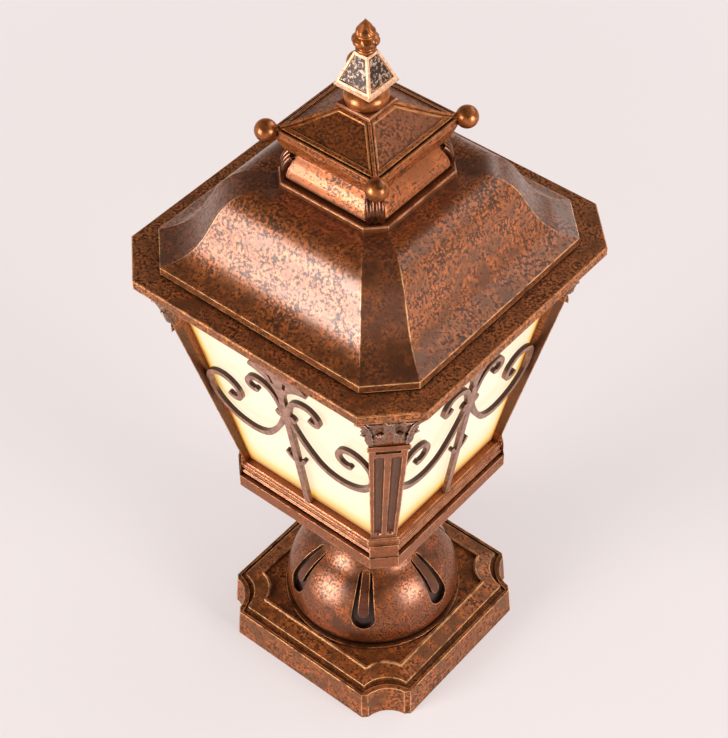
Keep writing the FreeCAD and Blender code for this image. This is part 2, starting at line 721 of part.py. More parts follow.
def screw(radius, head_radius, head_rise, length):
    """Countersunk screw, point up, its head's flat at z = 0."""
    head = Part.makeCone(head_radius, radius, head_rise)
    return head.fuse(rod(radius, length))


def lower_screw():
    """Screw from under the tray into a post's shoe."""
    along = (2 * SHOE_HALF - SHOE_CHAMFER) / ROOT_TWO - POST_SCREW_INSET
    one = screw(POST_SCREW_RADIUS, POST_SCREW_HEAD_RADIUS, POST_SCREW_HEAD_RISE,
                TRAY_THICK + POST_SCREW_BITE)
    one.translate(diagonal(along, 0, TRAY_Z))
    return one


def upper_screw():
    """Screw from above the top ring into a post's head."""
    along = (2 * post_half(POST_TOP_Z) - post_chamfer(POST_TOP_Z)) / ROOT_TWO - POST_SCREW_INSET
    one = screw(POST_SCREW_RADIUS, POST_SCREW_HEAD_RADIUS, POST_SCREW_HEAD_RISE,
                RING_THICK + POST_SCREW_BITE)
    one.rotate(V(0, 0, 0), V(1, 0, 0), 180)
    one.translate(diagonal(along, 0, RING_TOP_Z))
    return one


def corner_section(half, chamfer, reveal, z):
    """Outline of a moulding on the (+X, -Y) post, open behind to the glass slots."""
    side = half - chamfer
    bay = post_side(z)
    face = slot_front(z)
    start = [V(side, -half, z), V(side, -reveal, z), V(bay, -reveal, z), V(bay, -face, z),
             V(bay + GLASS_LAP, -face, z)]
    return polygon(start + [V(-p.y, -p.x, z) for p in reversed(start)])


def post_section(z, slot):
    """Full outline of the post at z, with a glass slot this deep in each side."""
    half = post_half(z)
    bay = post_side(z)
    back = slot_back(z)
    flange = bay - SLOT_FLANGE_LAP
    start = [V(bay, -half, z)]
    if slot:
        face = slot_front(z)
        start += [V(bay, -face, z), V(bay + slot, -face, z), V(bay + slot, -back, z)]
    else:
        start.append(V(bay, -back, z))
    start += [V(flange, -back, z), V(flange, -back + SLOT_FLANGE_THICK, z)]
    return polygon(start + [V(-p.y, -p.x, z) for p in reversed(start)])


def post_flutes():
    """Two tapering flutes down the corner face."""
    low = SILL_TOP_Z + POST_FLUTE_FOOT_LIFT
    high = POST_TOP_Z - POST_FLUTE_HEAD_DROP
    cutters = []
    for side in (-1, 1):
        ends = []
        for z in (low, high):
            width = post_chamfer(z) * ROOT_TWO
            along = (2 * post_half(z) - post_chamfer(z)) / ROOT_TWO + width * POST_FLUTE_SUNK_SHARE / 2
            ends.append((diagonal(along, side * width * POST_FLUTE_PLACE_SHARE, z), width * POST_FLUTE_SHARE))
        axis = ends[1][0] - ends[0][0]
        cutters.append(Part.makeCone(ends[0][1], ends[1][1], axis.Length, ends[0][0], axis))
        cutters.append(Part.makeSphere(ends[0][1], ends[0][0]))
        cutters.append(Part.makeSphere(ends[1][1], ends[1][0]))
    return cutters


def post_panel():
    """Shallow sunk panel across the corner face, just under the astragal."""
    low = POST_TOP_Z - POST_PANEL_DROP - POST_PANEL_RISE
    sections = []
    for z in (low, low + POST_PANEL_RISE):
        face = (2 * post_half(z) - post_chamfer(z)) / ROOT_TWO
        corners = ((-POST_PANEL_DEPTH, -1), (-POST_PANEL_DEPTH, 1), (OVERRUN, 1), (OVERRUN, -1))
        sections.append(polygon([diagonal(face + out, side * POST_PANEL_WIDTH / 2, z) for out, side in corners]))
    return loft(sections)


def post():
    shaft = loft([post_section(z, GLASS_LAP) for z in (SILL_Z, POST_TOP_Z)])
    shaft = shaft.cut(post_flutes() + [post_panel()])
    shoe = loft([corner_section(SHOE_HALF, SHOE_CHAMFER, slot_front(z), z) for z in (SILL_Z, SILL_TOP_Z)])
    parts = [shoe]
    z = SILL_TOP_Z
    for proud, rise in ((SHOE_BAND_PROUD, SHOE_BAND_RISE), (SHOE_STEP_PROUD, SHOE_STEP_RISE)):
        half = post_half(z) + proud
        chamfer = post_chamfer(z) + proud
        parts.append(loft([corner_section(half, chamfer, panel_half(z + rise) + GLASS_CLEARANCE, level)
                           for level in (z, z + rise)]))
        z += rise
    z = POST_TOP_Z - ASTRAGAL_DROP
    half = post_half(z + ASTRAGAL_RISE) + ASTRAGAL_PROUD
    chamfer = post_chamfer(z) + ASTRAGAL_PROUD
    parts.append(loft([corner_section(half, chamfer, panel_half(z + ASTRAGAL_RISE) + GLASS_CLEARANCE, level)
                       for level in (z, z + ASTRAGAL_RISE)]))
    foot = z + ASTRAGAL_RISE
    rise = POST_TOP_Z - foot
    sections = []
    for height, flare in CAPITAL_FLARE_SHARES:
        level = foot + rise * height
        wide = post_half(foot) + (CAPITAL_HALF - post_half(foot)) * (flare + height) / 2
        leg = post_chamfer(foot) + (CAPITAL_CHAMFER - post_chamfer(foot)) * flare + CAPITAL_FOOT_EASE
        sections.append(corner_section(wide, leg, panel_half(level) + GLASS_CLEARANCE, level))
    parts.append(loft(sections))
    body = shaft.fuse(parts)
    return body.cut([lower_screw(), upper_screw()]).removeSplitter()


def glass():
    """Opal pane for the -Y bay: its edges sit in the post slots, its foot on the ledge."""
    low = SILL_Z + GLASS_CLEARANCE
    high = POST_TOP_Z + RING_GROOVE_DEPTH - GLASS_CLEARANCE

    def outline(z):
        front = slot_front(z) - GLASS_CLEARANCE / math.cos(PANEL_TILT)
        back = front - GLASS_THICK / math.cos(PANEL_TILT)
        half = post_side(z) + GLASS_LAP - GLASS_CLEARANCE
        return polygon([V(-half, -front, z), V(half, -front, z), V(half, -back, z), V(-half, -back, z)])

    return loft([outline(low), outline(high)])


# Scroll grille


def ribbon(x, y, heading, bends, width):
    """Flat strap of one width along tangent arcs; a bend is (radius, new heading)."""
    left = []
    right = []
    first = None
    for radius, new_heading in bends:
        sign = 1 if new_heading > heading else -1
        centre = V(x - sign * radius * math.sin(math.radians(heading)),
                   y + sign * radius * math.cos(math.radians(heading)), 0)

        def rim(angle, offset):
            spoke = math.radians(angle)
            reach = sign * radius - offset
            return centre + V(reach * math.sin(spoke), -reach * math.cos(spoke), 0)

        middle = (heading + new_heading) / 2
        for edges, offset in ((left, width / 2), (right, -width / 2)):
            edges.append(Part.Arc(rim(heading, offset), rim(middle, offset), rim(new_heading, offset)).toShape())
        if first is None:
            first = (rim(heading, -width / 2), rim(heading, width / 2))
        x, y = rim(new_heading, 0).x, rim(new_heading, 0).y
        last = (rim(new_heading, width / 2), rim(new_heading, -width / 2))
        heading = new_heading
    tip = V(x, y, 0) + V(math.cos(math.radians(heading)), math.sin(math.radians(heading)), 0) * (width / 2)
    cap = Part.Arc(last[0], tip, last[1]).toShape()
    edges = left + [cap] + list(reversed(right)) + [Part.makeLine(first[0], first[1])]
    return Part.Face(Part.Wire(Part.__sortEdges__(edges)))


def lift_to_z(lift):
    """Height above the ground of a lift up the leaning panel."""
    return SILL_TOP_Z + lift * math.cos(PANEL_TILT)


def big_scroll():
    """Scroll that falls from the stem, bowls out to the post and curls back in."""
    start = -72
    heel = -52
    lead_x = SCROLL_LEAD_RADIUS * (math.sin(math.radians(heel)) - math.sin(math.radians(start)))
    heel_x = -SCROLL_HEEL_RADIUS * math.sin(math.radians(heel))
    drop = SCROLL_LEAD_RADIUS * (math.cos(math.radians(heel)) - math.cos(math.radians(start)))
    drop += SCROLL_HEEL_RADIUS * (1 - math.cos(math.radians(heel)))
    bottom = SCROLL_ROOT_LIFT - drop
    bowl_x = SCROLL_ROOT_X + lead_x + heel_x
    touch = post_side(lift_to_z(bottom)) - GRILLE_SIDE_CLEARANCE - STRAP_WIDTH / 2 - bowl_x
    growth = (POST_LEAN - POST_CHAMFER_GROWTH) * math.cos(PANEL_TILT)
    bowl = touch / (math.sqrt(1 + growth ** 2) - growth)
    bends = ((SCROLL_LEAD_RADIUS, heel), (SCROLL_HEEL_RADIUS, 0), (bowl, 90), (SCROLL_CROWN_RADIUS, 180),
             (SCROLL_INNER_RADIUS, 270), (SCROLL_EYE_RADIUS, 360), (SCROLL_TIP_RADIUS, 410))
    return ribbon(SCROLL_ROOT_X, SCROLL_ROOT_LIFT, start, bends, STRAP_WIDTH)


def curl():
    """Small upper scroll that rises from the stem and hooks outwards."""
    bends = ((CURL_LEAD_RADIUS, CURL_LEAD_HEADING), (CURL_SHOULDER_RADIUS, 0), (CURL_FALL_RADIUS, -90),
             (CURL_TIP_RADIUS, CURL_END_HEADING))
    return ribbon(SCROLL_ROOT_X, CURL_ROOT_LIFT, CURL_HEADING, bends, STRAP_WIDTH)


def leaf():
    """Little leaf that splits from the stem near its foot."""
    bend = (LEAF_RADIUS, LEAF_END_HEADING)
    return ribbon(STEM_WIDTH / 4, LEAF_ROOT_LIFT, LEAF_HEADING, (bend,), LEAF_WIDTH)


def crest(rail_lift):
    """Half of the leafy crest that spreads from the stem up to the top rail."""
    rise = rail_lift - CREST_ROOT_LIFT

    def place(share):
        return V(CREST_HALF * share[0], CREST_ROOT_LIFT + rise * share[1], 0)

    outline = [Part.Arc(place(a), place(b), place(c)).toShape() for a, b, c in CREST_LOBE_SHARES]
    first = place(CREST_LOBE_SHARES[0][0])
    last = place(CREST_LOBE_SHARES[-1][-1])
    outline += [Part.makeLine(last, V(0, rail_lift, 0)), Part.makeLine(V(0, rail_lift, 0), V(0, first.y, 0)),
                Part.makeLine(V(0, first.y, 0), first)]
    bend = (CREST_EYE_BEND, CREST_EYE_END_HEADING)
    eye = ribbon(CREST_EYE_X, CREST_EYE_LIFT, CREST_EYE_HEADING, (bend,), CREST_EYE_WIDTH)
    return Part.Face(Part.Wire(outline)).cut(eye)


def grille():
    """One scroll panel for the -Y bay, cast flat and leaned to the panel plane."""
    reach_z = POST_TOP_Z + RING_GROOVE_DEPTH - GLASS_CLEARANCE - SILL_TOP_Z
    top_lift = reach_z / math.cos(PANEL_TILT) - GRILLE_THICK * PANEL_LEAN
    rail_lift = top_lift - RAIL_RISE
    half = []
    half.append(big_scroll())
    half.append(curl())
    half.append(leaf())
    half.append(Part.Face(Part.Wire(Part.makeCircle(KNUCKLE_RADIUS, V(KNUCKLE_X, KNUCKLE_LIFT, 0)))))
    half.append(crest(rail_lift))
    reach = [post_side(lift_to_z(lift)) - GRILLE_SIDE_CLEARANCE for lift in (rail_lift, top_lift)]
    rail = Part.Face(polygon([V(-reach[0], rail_lift, 0), V(reach[0], rail_lift, 0),
                              V(reach[1], top_lift, 0), V(-reach[1], top_lift, 0)]))
    stem = Part.makePlane(STEM_WIDTH, CREST_ROOT_LIFT + TENON_DEPTH + STEM_WIDTH,
                          V(-STEM_WIDTH / 2, -TENON_DEPTH, 0))
    faces = half + [face.mirror(V(0, 0, 0), V(1, 0, 0)) for face in half] + [rail, stem]
    down = V(0, 0, -GRILLE_THICK)
    body = faces[0].extrude(down).fuse([face.extrude(down) for face in faces[1:]]).removeSplitter()
    sine = math.sin(PANEL_TILT)
    cosine = math.cos(PANEL_TILT)
    front = -panel_half(SILL_TOP_Z)
    body.Placement = FreeCAD.Placement(FreeCAD.Matrix(1, 0, 0, 0,
                                                      0, -sine, -cosine, front,
                                                      0, cosine, -sine, SILL_TOP_Z,
                                                      0, 0, 0, 1))
    return body


# Top ring, gasket, yoke and tie rod


def top_ring():
    opening = slot_back(POST_TOP_Z - RING_LIP_DROP) - GLASS_CLEARANCE - RING_LIP_THICK
    body = prism(octagon(RING_HALF, RING_CHAMFER, POST_TOP_Z), RING_THICK)
    lip_half = opening + RING_LIP_THICK
    lip = prism(square(lip_half, POST_TOP_Z - RING_LIP_DROP), RING_LIP_DROP)
    post_tail = Part.makeBox(RING_HALF, RING_HALF, RING_LIP_DROP,
                             V(post_side(POST_TOP_Z) - 2 * SLOT_FLANGE_LAP - SLOT_FLANGE_THICK,
                               -RING_HALF - post_side(POST_TOP_Z) + 2 * SLOT_FLANGE_LAP + SLOT_FLANGE_THICK,
                               POST_TOP_Z - RING_LIP_DROP))
    lip = lip.cut(around(post_tail))
    body = body.fuse(lip).cut(prism(square(opening, POST_TOP_Z - RING_LIP_DROP - OVERRUN),
                                    RING_LIP_DROP + RING_THICK + 2 * OVERRUN))
    outer = panel_half(POST_TOP_Z + RING_GROOVE_DEPTH) + GLASS_CLEARANCE
    inner = slot_back(POST_TOP_Z)
    length = 2 * (post_side(POST_TOP_Z + RING_GROOVE_DEPTH) + GLASS_LAP)
    groove = block(length, outer - inner, RING_GROOVE_DEPTH + OVERRUN, 0, -(outer + inner) / 2,
                   POST_TOP_Z - OVERRUN)
    seat = block(2 * YOKE_REACH, YOKE_WIDTH, YOKE_THICK + OVERRUN, 0, 0, YOKE_Z)
    body = body.cut(around(groove) + [seat] + around(upper_screw()))
    return body.cut(yoke_screw_pair()).removeSplitter()


def roof_gasket():
    ring_top = octagon(GASKET_HALF, RING_CHAMFER - (RING_HALF - GASKET_HALF) * EVEN_OFFSET_SHARE, RING_TOP_Z)
    inner_half = GASKET_HALF - GASKET_WIDTH
    inner = octagon(inner_half, RING_CHAMFER - (RING_HALF - inner_half) * EVEN_OFFSET_SHARE,
                    RING_TOP_Z - OVERRUN)
    rise = EAVE_Z - ROOF_SEAT_GAP - RING_TOP_Z
    return prism(ring_top, rise).cut(prism(inner, rise + 2 * OVERRUN))


def yoke_screw_pair():
    """Screws that hold the yoke's two ends down to the ring."""
    pair = []
    for side in (-1, 1):
        one = screw(YOKE_SCREW_RADIUS, YOKE_SCREW_HEAD_RADIUS, POST_SCREW_HEAD_RISE, RING_THICK)
        one.rotate(V(0, 0, 0), V(1, 0, 0), 180)
        one.translate(V(side * YOKE_SCREW_X, 0, RING_TOP_Z))
        pair.append(one)
    return pair


def yoke_bar():
    reach = YOKE_REACH - GRILLE_SIDE_CLEARANCE
    bar = block(2 * reach, YOKE_WIDTH - 2 * GRILLE_SIDE_CLEARANCE, YOKE_THICK, 0, 0, YOKE_Z)
    return bar.cut([rod(ROD_RADIUS, YOKE_THICK, 0, 0, YOKE_Z)] + yoke_screw_pair())


def tie_rod():
    bottom = YOKE_Z - ROD_NUT_RISE - OVERRUN
    return rod(ROD_RADIUS, BUD_Z - ROOF_SEAT_GAP - bottom, 0, 0, bottom)


def rod_thread():
    """Threaded end of the tie rod, hidden in the bud's blind bore."""
    bottom = BUD_Z - ROOF_SEAT_GAP
    top = BUD_Z + BUD_BORE_DEPTH - OVERRUN
    point = Part.makeCone(ROD_RADIUS, ROD_RADIUS / 2, OVERRUN, V(0, 0, top - OVERRUN))
    return rod(ROD_RADIUS, top - OVERRUN - bottom, 0, 0, bottom).fuse(point)


def rod_nuts():
    nuts = [hexagon(ROD_NUT_FLAT, ROD_NUT_RISE, z) for z in (YOKE_Z - ROD_NUT_RISE, RING_TOP_Z)]
    bore = rod(ROD_RADIUS, RING_TOP_Z, 0, 0, YOKE_Z / 2)
    return Part.makeCompound([nut.cut(bore) for nut in nuts])


# Roof


def shell_profile(points, wall):
    """Stations moved inwards, square to the profile, by the wall."""
    moved = []
    for index, (w, z) in enumerate(points):
        before = points[max(index - 1, 0)]
        after = points[min(index + 1, len(points) - 1)]
        run = math.hypot(after[0] - before[0], after[1] - before[1])
        moved.append((w - wall * (after[1] - before[1]) / run, z + wall * (after[0] - before[0]) / run))
    return moved


def eave_plate():
    bevel = EAVE_BEVEL
    plate = stack([(EAVE_HALF - bevel, EAVE_Z), (EAVE_HALF, EAVE_Z + bevel),
                   (EAVE_HALF, EAVE_TOP_Z - bevel), (EAVE_HALF - bevel, EAVE_TOP_Z)], EAVE_HALF, EAVE_CHAMFER)
    opening_chamfer = EAVE_CHAMFER - (EAVE_HALF - EAVE_OPENING_HALF) * EVEN_OFFSET_SHARE
    opening = prism(octagon(EAVE_OPENING_HALF, opening_chamfer, EAVE_Z - OVERRUN), EAVE_THICK + 2 * OVERRUN)
    return plate.cut([opening] + around(eave_screw()))


def eave_screw():
    """Screw from under the eave plate into the bell roof's lip."""
    along = (EAVE_OPENING_HALF + BELL_RECESS_HALF) / 2
    one = screw(EAVE_SCREW_RADIUS, EAVE_SCREW_HEAD_RADIUS, POST_SCREW_HEAD_RISE,
                EAVE_THICK + BELL_RECESS_RISE + BELL_LIP_RISE / 2)
    one.translate(V(along, 0, EAVE_Z))
    return one


def bell_points():
    """Stations of the bell's outer curve, lip edge first."""
    return [(BELL_HEAD_HALF + (BELL_HALF - BELL_HEAD_HALF) * w, BELL_SPRING_Z + BELL_HEIGHT * z)
            for w, z in BELL_SHARES]


def bell_roof():
    outer = bell_points()
    inner = shell_profile(outer, BELL_WALL)
    dome = loft([octagon(w, w * BELL_CHAMFER_SHARE, z) for w, z in outer], False)
    foot_half = inner[1][0]
    lip = prism(octagon(BELL_HALF, BELL_HALF * BELL_CHAMFER_SHARE, BELL_Z), BELL_LIP_RISE)
    recess = prism(octagon(BELL_RECESS_HALF, BELL_RECESS_HALF * BELL_CHAMFER_SHARE, EAVE_TOP_Z),
                   BELL_RECESS_RISE)
    hollow = loft([octagon(w, w * BELL_CHAMFER_SHARE, z) for w, z in inner[1:-1]], False)
    mouth = prism(octagon(foot_half, foot_half * BELL_CHAMFER_SHARE, EAVE_TOP_Z - OVERRUN),
                  inner[1][1] - EAVE_TOP_Z + OVERRUN)
    head = rod(ROD_BORE_RADIUS, BELL_HEAD_THICK + OVERRUN, 0, 0, BELL_TOP_Z - BELL_HEAD_THICK)
    seat_half = COLLAR_HALF + BALL_SEAT_CLEARANCE
    seat = prism(octagon(seat_half, COLLAR_CHAMFER, COLLAR_Z), COLLAR_THICK)
    body = dome.fuse([lip, recess]).cut([hollow, mouth, head, seat] + around(eave_screw()))
    return body.removeSplitter()


def collar_plate():
    bevel = EAVE_BEVEL
    top = NECK_Z
    plate = stack([(COLLAR_HALF, COLLAR_Z), (COLLAR_HALF, top - bevel), (COLLAR_HALF - bevel, top)],
                  COLLAR_HALF, COLLAR_CHAMFER)
    return plate.cut(rod(ROD_BORE_RADIUS, COLLAR_THICK, 0, 0, COLLAR_Z))


def neck_body():
    """Outer shape of the crown neck, unpierced."""
    swell = NECK_HALF - NECK_HEAD_HALF
    return stack([(NECK_HEAD_HALF + swell * w, NECK_Z + NECK_RISE * z) for z, w in NECK_SHARES],
                 NECK_HALF, NECK_CHAMFER)


def crown_neck():
    hollow_half = NECK_HEAD_HALF - NECK_WALL
    hollow = prism(octagon(hollow_half, NECK_CHAMFER / 2, NECK_Z - OVERRUN), NECK_RISE + 2 * OVERRUN)
    return neck_body().cut(hollow)


def claw():
    """Paw of side by side fingers that stands on the collar and clasps the neck's corner."""
    reach = CLAW_LOBE_RADIUS + CLAW_GAP
    foot_along = (2 * NECK_HALF - NECK_CHAMFER) / ROOT_TWO + CLAW_GAP
    foot_z = NECK_Z + reach
    head_along = foot_along - 2 * CLAW_LOBE_RADIUS
    head_z = NECK_Z + CLAW_RISE
    chord = math.hypot(head_along - foot_along, head_z - foot_z)
    middle_along = (foot_along + head_along) / 2 + CLAW_BULGE * (head_z - foot_z) / chord
    middle_z = (foot_z + head_z) / 2 - CLAW_BULGE * (head_along - foot_along) / chord
    fingers = []
    for index in range(CLAW_LOBES):
        across = (index - (CLAW_LOBES - 1) / 2) * CLAW_PITCH
        foot = diagonal(foot_along, across, foot_z)
        path = Part.Arc(foot, diagonal(middle_along, across, middle_z), diagonal(head_along, across, head_z)).toShape()
        circle = Part.makeCircle(CLAW_LOBE_RADIUS, foot, path.tangentAt(path.FirstParameter))
        turn = math.degrees(path.LastParameter - path.FirstParameter)
        fingers.append(Part.Face(Part.Wire(circle)).revolve(path.Curve.Center, path.Curve.Axis, turn))
        fingers.append(Part.makeSphere(CLAW_LOBE_RADIUS, foot))
    across = (CLAW_LOBES - 1) / 2 * CLAW_PITCH
    back = NECK_HEAD_HALF
    ends = [diagonal(foot_along, -across, foot_z), diagonal(middle_along, -across, middle_z),
            diagonal(head_along, -across, head_z)]
    web = Part.Face(Part.Wire([Part.Arc(*ends).toShape(),
                               Part.makeLine(ends[2], diagonal(back, -across, head_z)),
                               Part.makeLine(diagonal(back, -across, head_z), diagonal(back, -across, foot_z)),
                               Part.makeLine(diagonal(back, -across, foot_z), ends[0])]))
    body = web.extrude(diagonal(0, 2 * across, 0)).fuse(fingers)
    return body.cut(neck_body())


# Cap roof and corner balls


def cap_slope(drop):
    """Stations of the cap's sagging faces, lowered by drop."""
    foot_half = CAP_HALF - CAP_LIP_WIDTH - CAP_MOAT_WIDTH
    return [(foot_half - (foot_half - CAP_HEAD_HALF) * w, CAP_FRAME_Z + CAP_RISE * z - drop)
            for w, z in CAP_SAG_SHARES]


def cap_roof():
    slope = cap_slope(0)
    foot_half = slope[0][0]
    cove_half, cove_rise = CORNICE_COVE_SHARES
    lip_z = CAP_FRAME_Z - EAVE_BEVEL
    lip = loft([square(w, z) for w, z in (
        (CORNICE_HALF, CORNICE_Z),
        (CORNICE_HALF + (CAP_HALF - CORNICE_HALF) * cove_half, CORNICE_Z + CORNICE_RISE * cove_rise),
        (CAP_HALF - EAVE_BEVEL, CAP_Z), (CAP_HALF, CAP_Z + EAVE_BEVEL), (CAP_HALF, lip_z))])
    moat_z = lip_z - CAP_MOAT_DEPTH
    moat = prism(square(CAP_HALF - CAP_LIP_WIDTH, moat_z), CAP_MOAT_DEPTH + OVERRUN)
    core = loft([square(foot_half, moat_z - EAVE_BEVEL)] + [square(w, z) for w, z in slope])
    skin = core.cut(loft([square(w, z) for w, z in cap_slope(CAP_PANEL_DEPTH)]))
    low = foot_half - CAP_FRAME
    high = CAP_HEAD_HALF + CAP_FRAME
    side_low, side_high = [w - CAP_FRAME * ROOT_TWO for w in (low, high)]
    panel = prism(polygon([V(-side_low, -low, CAP_FRAME_Z), V(side_low, -low, CAP_FRAME_Z),
                           V(side_high, -high, CAP_FRAME_Z), V(-side_high, -high, CAP_FRAME_Z)]), CAP_RISE)
    recesses = [turned(panel, quarter).common(skin) for quarter in range(4)]
    bead = []
    for (w0, z0), (w1, z1) in zip(slope, slope[1:]):
        start = V(w0, -w0, z0)
        axis = V(w1, -w1, z1) - start
        bead.append(Part.makeCylinder(HIP_RADIUS, axis.Length, start, axis))
        bead.append(Part.makeSphere(HIP_RADIUS, V(w1, -w1, z1)))
    crop = prism(square(foot_half, CAP_FRAME_Z - HIP_RADIUS), CAP_RISE + HIP_RADIUS)
    hip = bead[0].fuse(bead[1:]).common(crop)
    slot = block(2 * foot_half, CAP_SLOT_WIDTH, CAP_RISE, foot_half, 0, CAP_FRAME_Z)
    slots = []
    for side in (-1, 1):
        one = slot.translated(V(0, side * (HIP_RADIUS + CAP_SLOT_WIDTH / 2), 0))
        slots.append(one.rotated(V(0, 0, 0), UP, -45).common(skin))
    body = lip.cut(moat).fuse(core).cut(recesses + [turned(one, q) for one in slots for q in range(4)])
    under = cap_slope(CAP_WALL)[1:-1]
    hollow = loft([square(w, z) for w, z in [(CORNICE_HALF - CAP_WALL, CORNICE_Z - OVERRUN),
                                             (CORNICE_HALF - CAP_WALL, CAP_Z)]
                   + [(w - CAP_WALL, z) for w, z in under]])
    body = body.fuse(around(hip)).cut(hollow)
    seats = [Part.makeSphere(BALL_RADIUS + BALL_SEAT_CLEARANCE, V(BALL_CENTRE, -BALL_CENTRE, BALL_Z)),
             ball_pin(BALL_SEAT_CLEARANCE)]
    seats = [seat for part in seats for seat in around(part)]
    return body.cut(seats + [rod(ROD_BORE_RADIUS, CAP_TOP_Z, 0, 0, CAP_Z)]).removeSplitter()


def ball_pin(clearance):
    """Pin from the ball's middle into the cap's corner."""
    inwards = diagonal(-1, 0, 0)
    length = BALL_RADIUS + BALL_PIN_LENGTH + clearance
    return Part.makeCylinder(BALL_PIN_RADIUS + clearance, length, V(BALL_CENTRE, -BALL_CENTRE, BALL_Z), inwards)


def corner_ball():
    return Part.makeSphere(BALL_RADIUS, V(BALL_CENTRE, -BALL_CENTRE, BALL_Z)).fuse(ball_pin(0))


# Finial


def finial_plate():
    bevel = EAVE_BEVEL
    top = FINIAL_BALL_Z
    plate = loft([square(w, z) for w, z in ((FINIAL_PLATE_HALF - bevel, CAP_TOP_Z),
                                            (FINIAL_PLATE_HALF, CAP_TOP_Z + bevel),
                                            (FINIAL_PLATE_HALF, top - bevel),
                                            (FINIAL_PLATE_HALF - bevel, top))])
    return plate.cut(rod(ROD_BORE_RADIUS, FINIAL_PLATE_RISE, 0, 0, CAP_TOP_Z))


def finial_ball():
    centre_z = FINIAL_BALL_Z + FINIAL_BALL_SUNK

    def radius(z):
        return FINIAL_BALL_RADIUS * math.sqrt(1 - ((z - centre_z) / FINIAL_BALL_SEMI) ** 2)

    count = 9
    step = FINIAL_BALL_RISE / (count - 1)
    outline = [(radius(FINIAL_BALL_Z + step * k), FINIAL_BALL_Z + step * k) for k in range(count)]
    edges = [smooth(outline)] + lines([outline[-1], (ROD_BORE_RADIUS, PYRAMID_Z),
                                       (ROD_BORE_RADIUS, FINIAL_BALL_Z), outline[0]])
    return spin(edges)


def finial_pyramid():
    foot_z = PYRAMID_Z + PYRAMID_BASE_RISE
    foot_half = PYRAMID_HALF - EAVE_BEVEL
    base = loft([square(w, z) for w, z in ((PYRAMID_HALF - 2 * EAVE_BEVEL, PYRAMID_Z),
                                           (PYRAMID_HALF, PYRAMID_Z + EAVE_BEVEL),
                                           (PYRAMID_HALF, foot_z - EAVE_BEVEL), (foot_half, foot_z))])
    spire = loft([square(foot_half, foot_z), square(PYRAMID_HEAD_HALF, BUD_Z)])
    low = foot_z + PYRAMID_FRAME
    high = BUD_Z - PYRAMID_FRAME

    def face_half(z):
        return foot_half + (PYRAMID_HEAD_HALF - foot_half) * (z - foot_z) / PYRAMID_RISE

    outline = []
    for z, sign in ((low, -1), (low, 1), (high, 1), (high, -1)):
        outline.append(V(sign * (face_half(z) - PYRAMID_FRAME), -face_half(z) - OVERRUN, z))
    lean = V(0, PYRAMID_RECESS + OVERRUN, 0)
    recess = Part.Face(polygon(outline)).extrude(lean)
    body = base.fuse(spire).cut(around(recess))
    return body.cut(rod(ROD_BORE_RADIUS, BUD_Z - PYRAMID_Z, 0, 0, PYRAMID_Z)).removeSplitter()


def finial_bud():
    outline = [(BUD_RADIUS * r, BUD_Z + BUD_RISE * z) for z, r in BUD_SHARES]
    bore = ROD_RADIUS + BUD_BORE_CLEARANCE
    roof = BUD_Z + BUD_BORE_DEPTH
    edges = [smooth(outline + [(0, BUD_Z + BUD_RISE)])]
    edges += lines([(0, BUD_Z + BUD_RISE), (0, roof), (bore, roof), (bore, BUD_Z), outline[0]])
    return spin(edges)


# Stem tube, nuts and wiring parts


def threaded_tube():
    bottom = TUBE_NUT_Z - TUBE_TAIL / 2
    return tube(TUBE_RADIUS, TUBE_BORE_RADIUS, FLOOR_Z + TUBE_HEAD - bottom, bottom)


def tube_nut(z):
    return hexagon(TUBE_NUT_FLAT, TUBE_NUT_RISE, z).cut(rod(TUBE_RADIUS, TUBE_NUT_RISE, 0, 0, z))


def tube_washer():
    return tube(TUBE_WASHER_RADIUS, TUBE_RADIUS, TUBE_WASHER_THICK, PLINTH_RISE - TUBE_WASHER_THICK)


def cable_bush():
    bottom = TUBE_NUT_Z - TUBE_TAIL / 2
    body = rod(BUSH_FLANGE_RADIUS, BUSH_FLANGE_THICK, 0, 0, bottom - BUSH_FLANGE_THICK)
    body = body.fuse(rod(TUBE_BORE_RADIUS - BUSH_CLEARANCE, BUSH_SPIGOT, 0, 0, bottom))
    return body.cut(rod(BUSH_BORE_RADIUS, BUSH_SPIGOT + BUSH_FLANGE_THICK, 0, 0, bottom - BUSH_FLANGE_THICK))


def holder_bracket():
    """Strip bent into a bridge: two feet on the tray floor, a deck for the lampholder."""
    thick = BRACKET_THICK
    leg = HOLDER_RADIUS + BRACKET_THICK
    deck = FLOOR_Z + BRACKET_RISE
    outline = [(-BRACKET_HALF_SPAN, FLOOR_Z), (-leg, FLOOR_Z), (-leg, deck - thick), (leg, deck - thick),
               (leg, FLOOR_Z), (BRACKET_HALF_SPAN, FLOOR_Z), (BRACKET_HALF_SPAN, FLOOR_Z + thick),
               (leg + thick, FLOOR_Z + thick), (leg + thick, deck), (-leg - thick, deck),
               (-leg - thick, FLOOR_Z + thick), (-BRACKET_HALF_SPAN, FLOOR_Z + thick)]
    face = Part.Face(polygon([V(x, -BRACKET_WIDTH / 2, z) for x, z in outline]))
    strip = face.extrude(V(0, BRACKET_WIDTH, 0))
    holes = [rod(POST_SCREW_RADIUS, 2 * thick, side * bracket_screw_x(), 0, FLOOR_Z - thick / 2)
             for side in (-1, 1)]
    holes.append(rod(TUBE_BORE_RADIUS, 2 * thick, 0, 0, deck - 1.5 * thick))
    return strip.cut(holes)


def bracket_screw_x():
    return BRACKET_HALF_SPAN - (BRACKET_HALF_SPAN - HOLDER_RADIUS - 2 * BRACKET_THICK) / 2


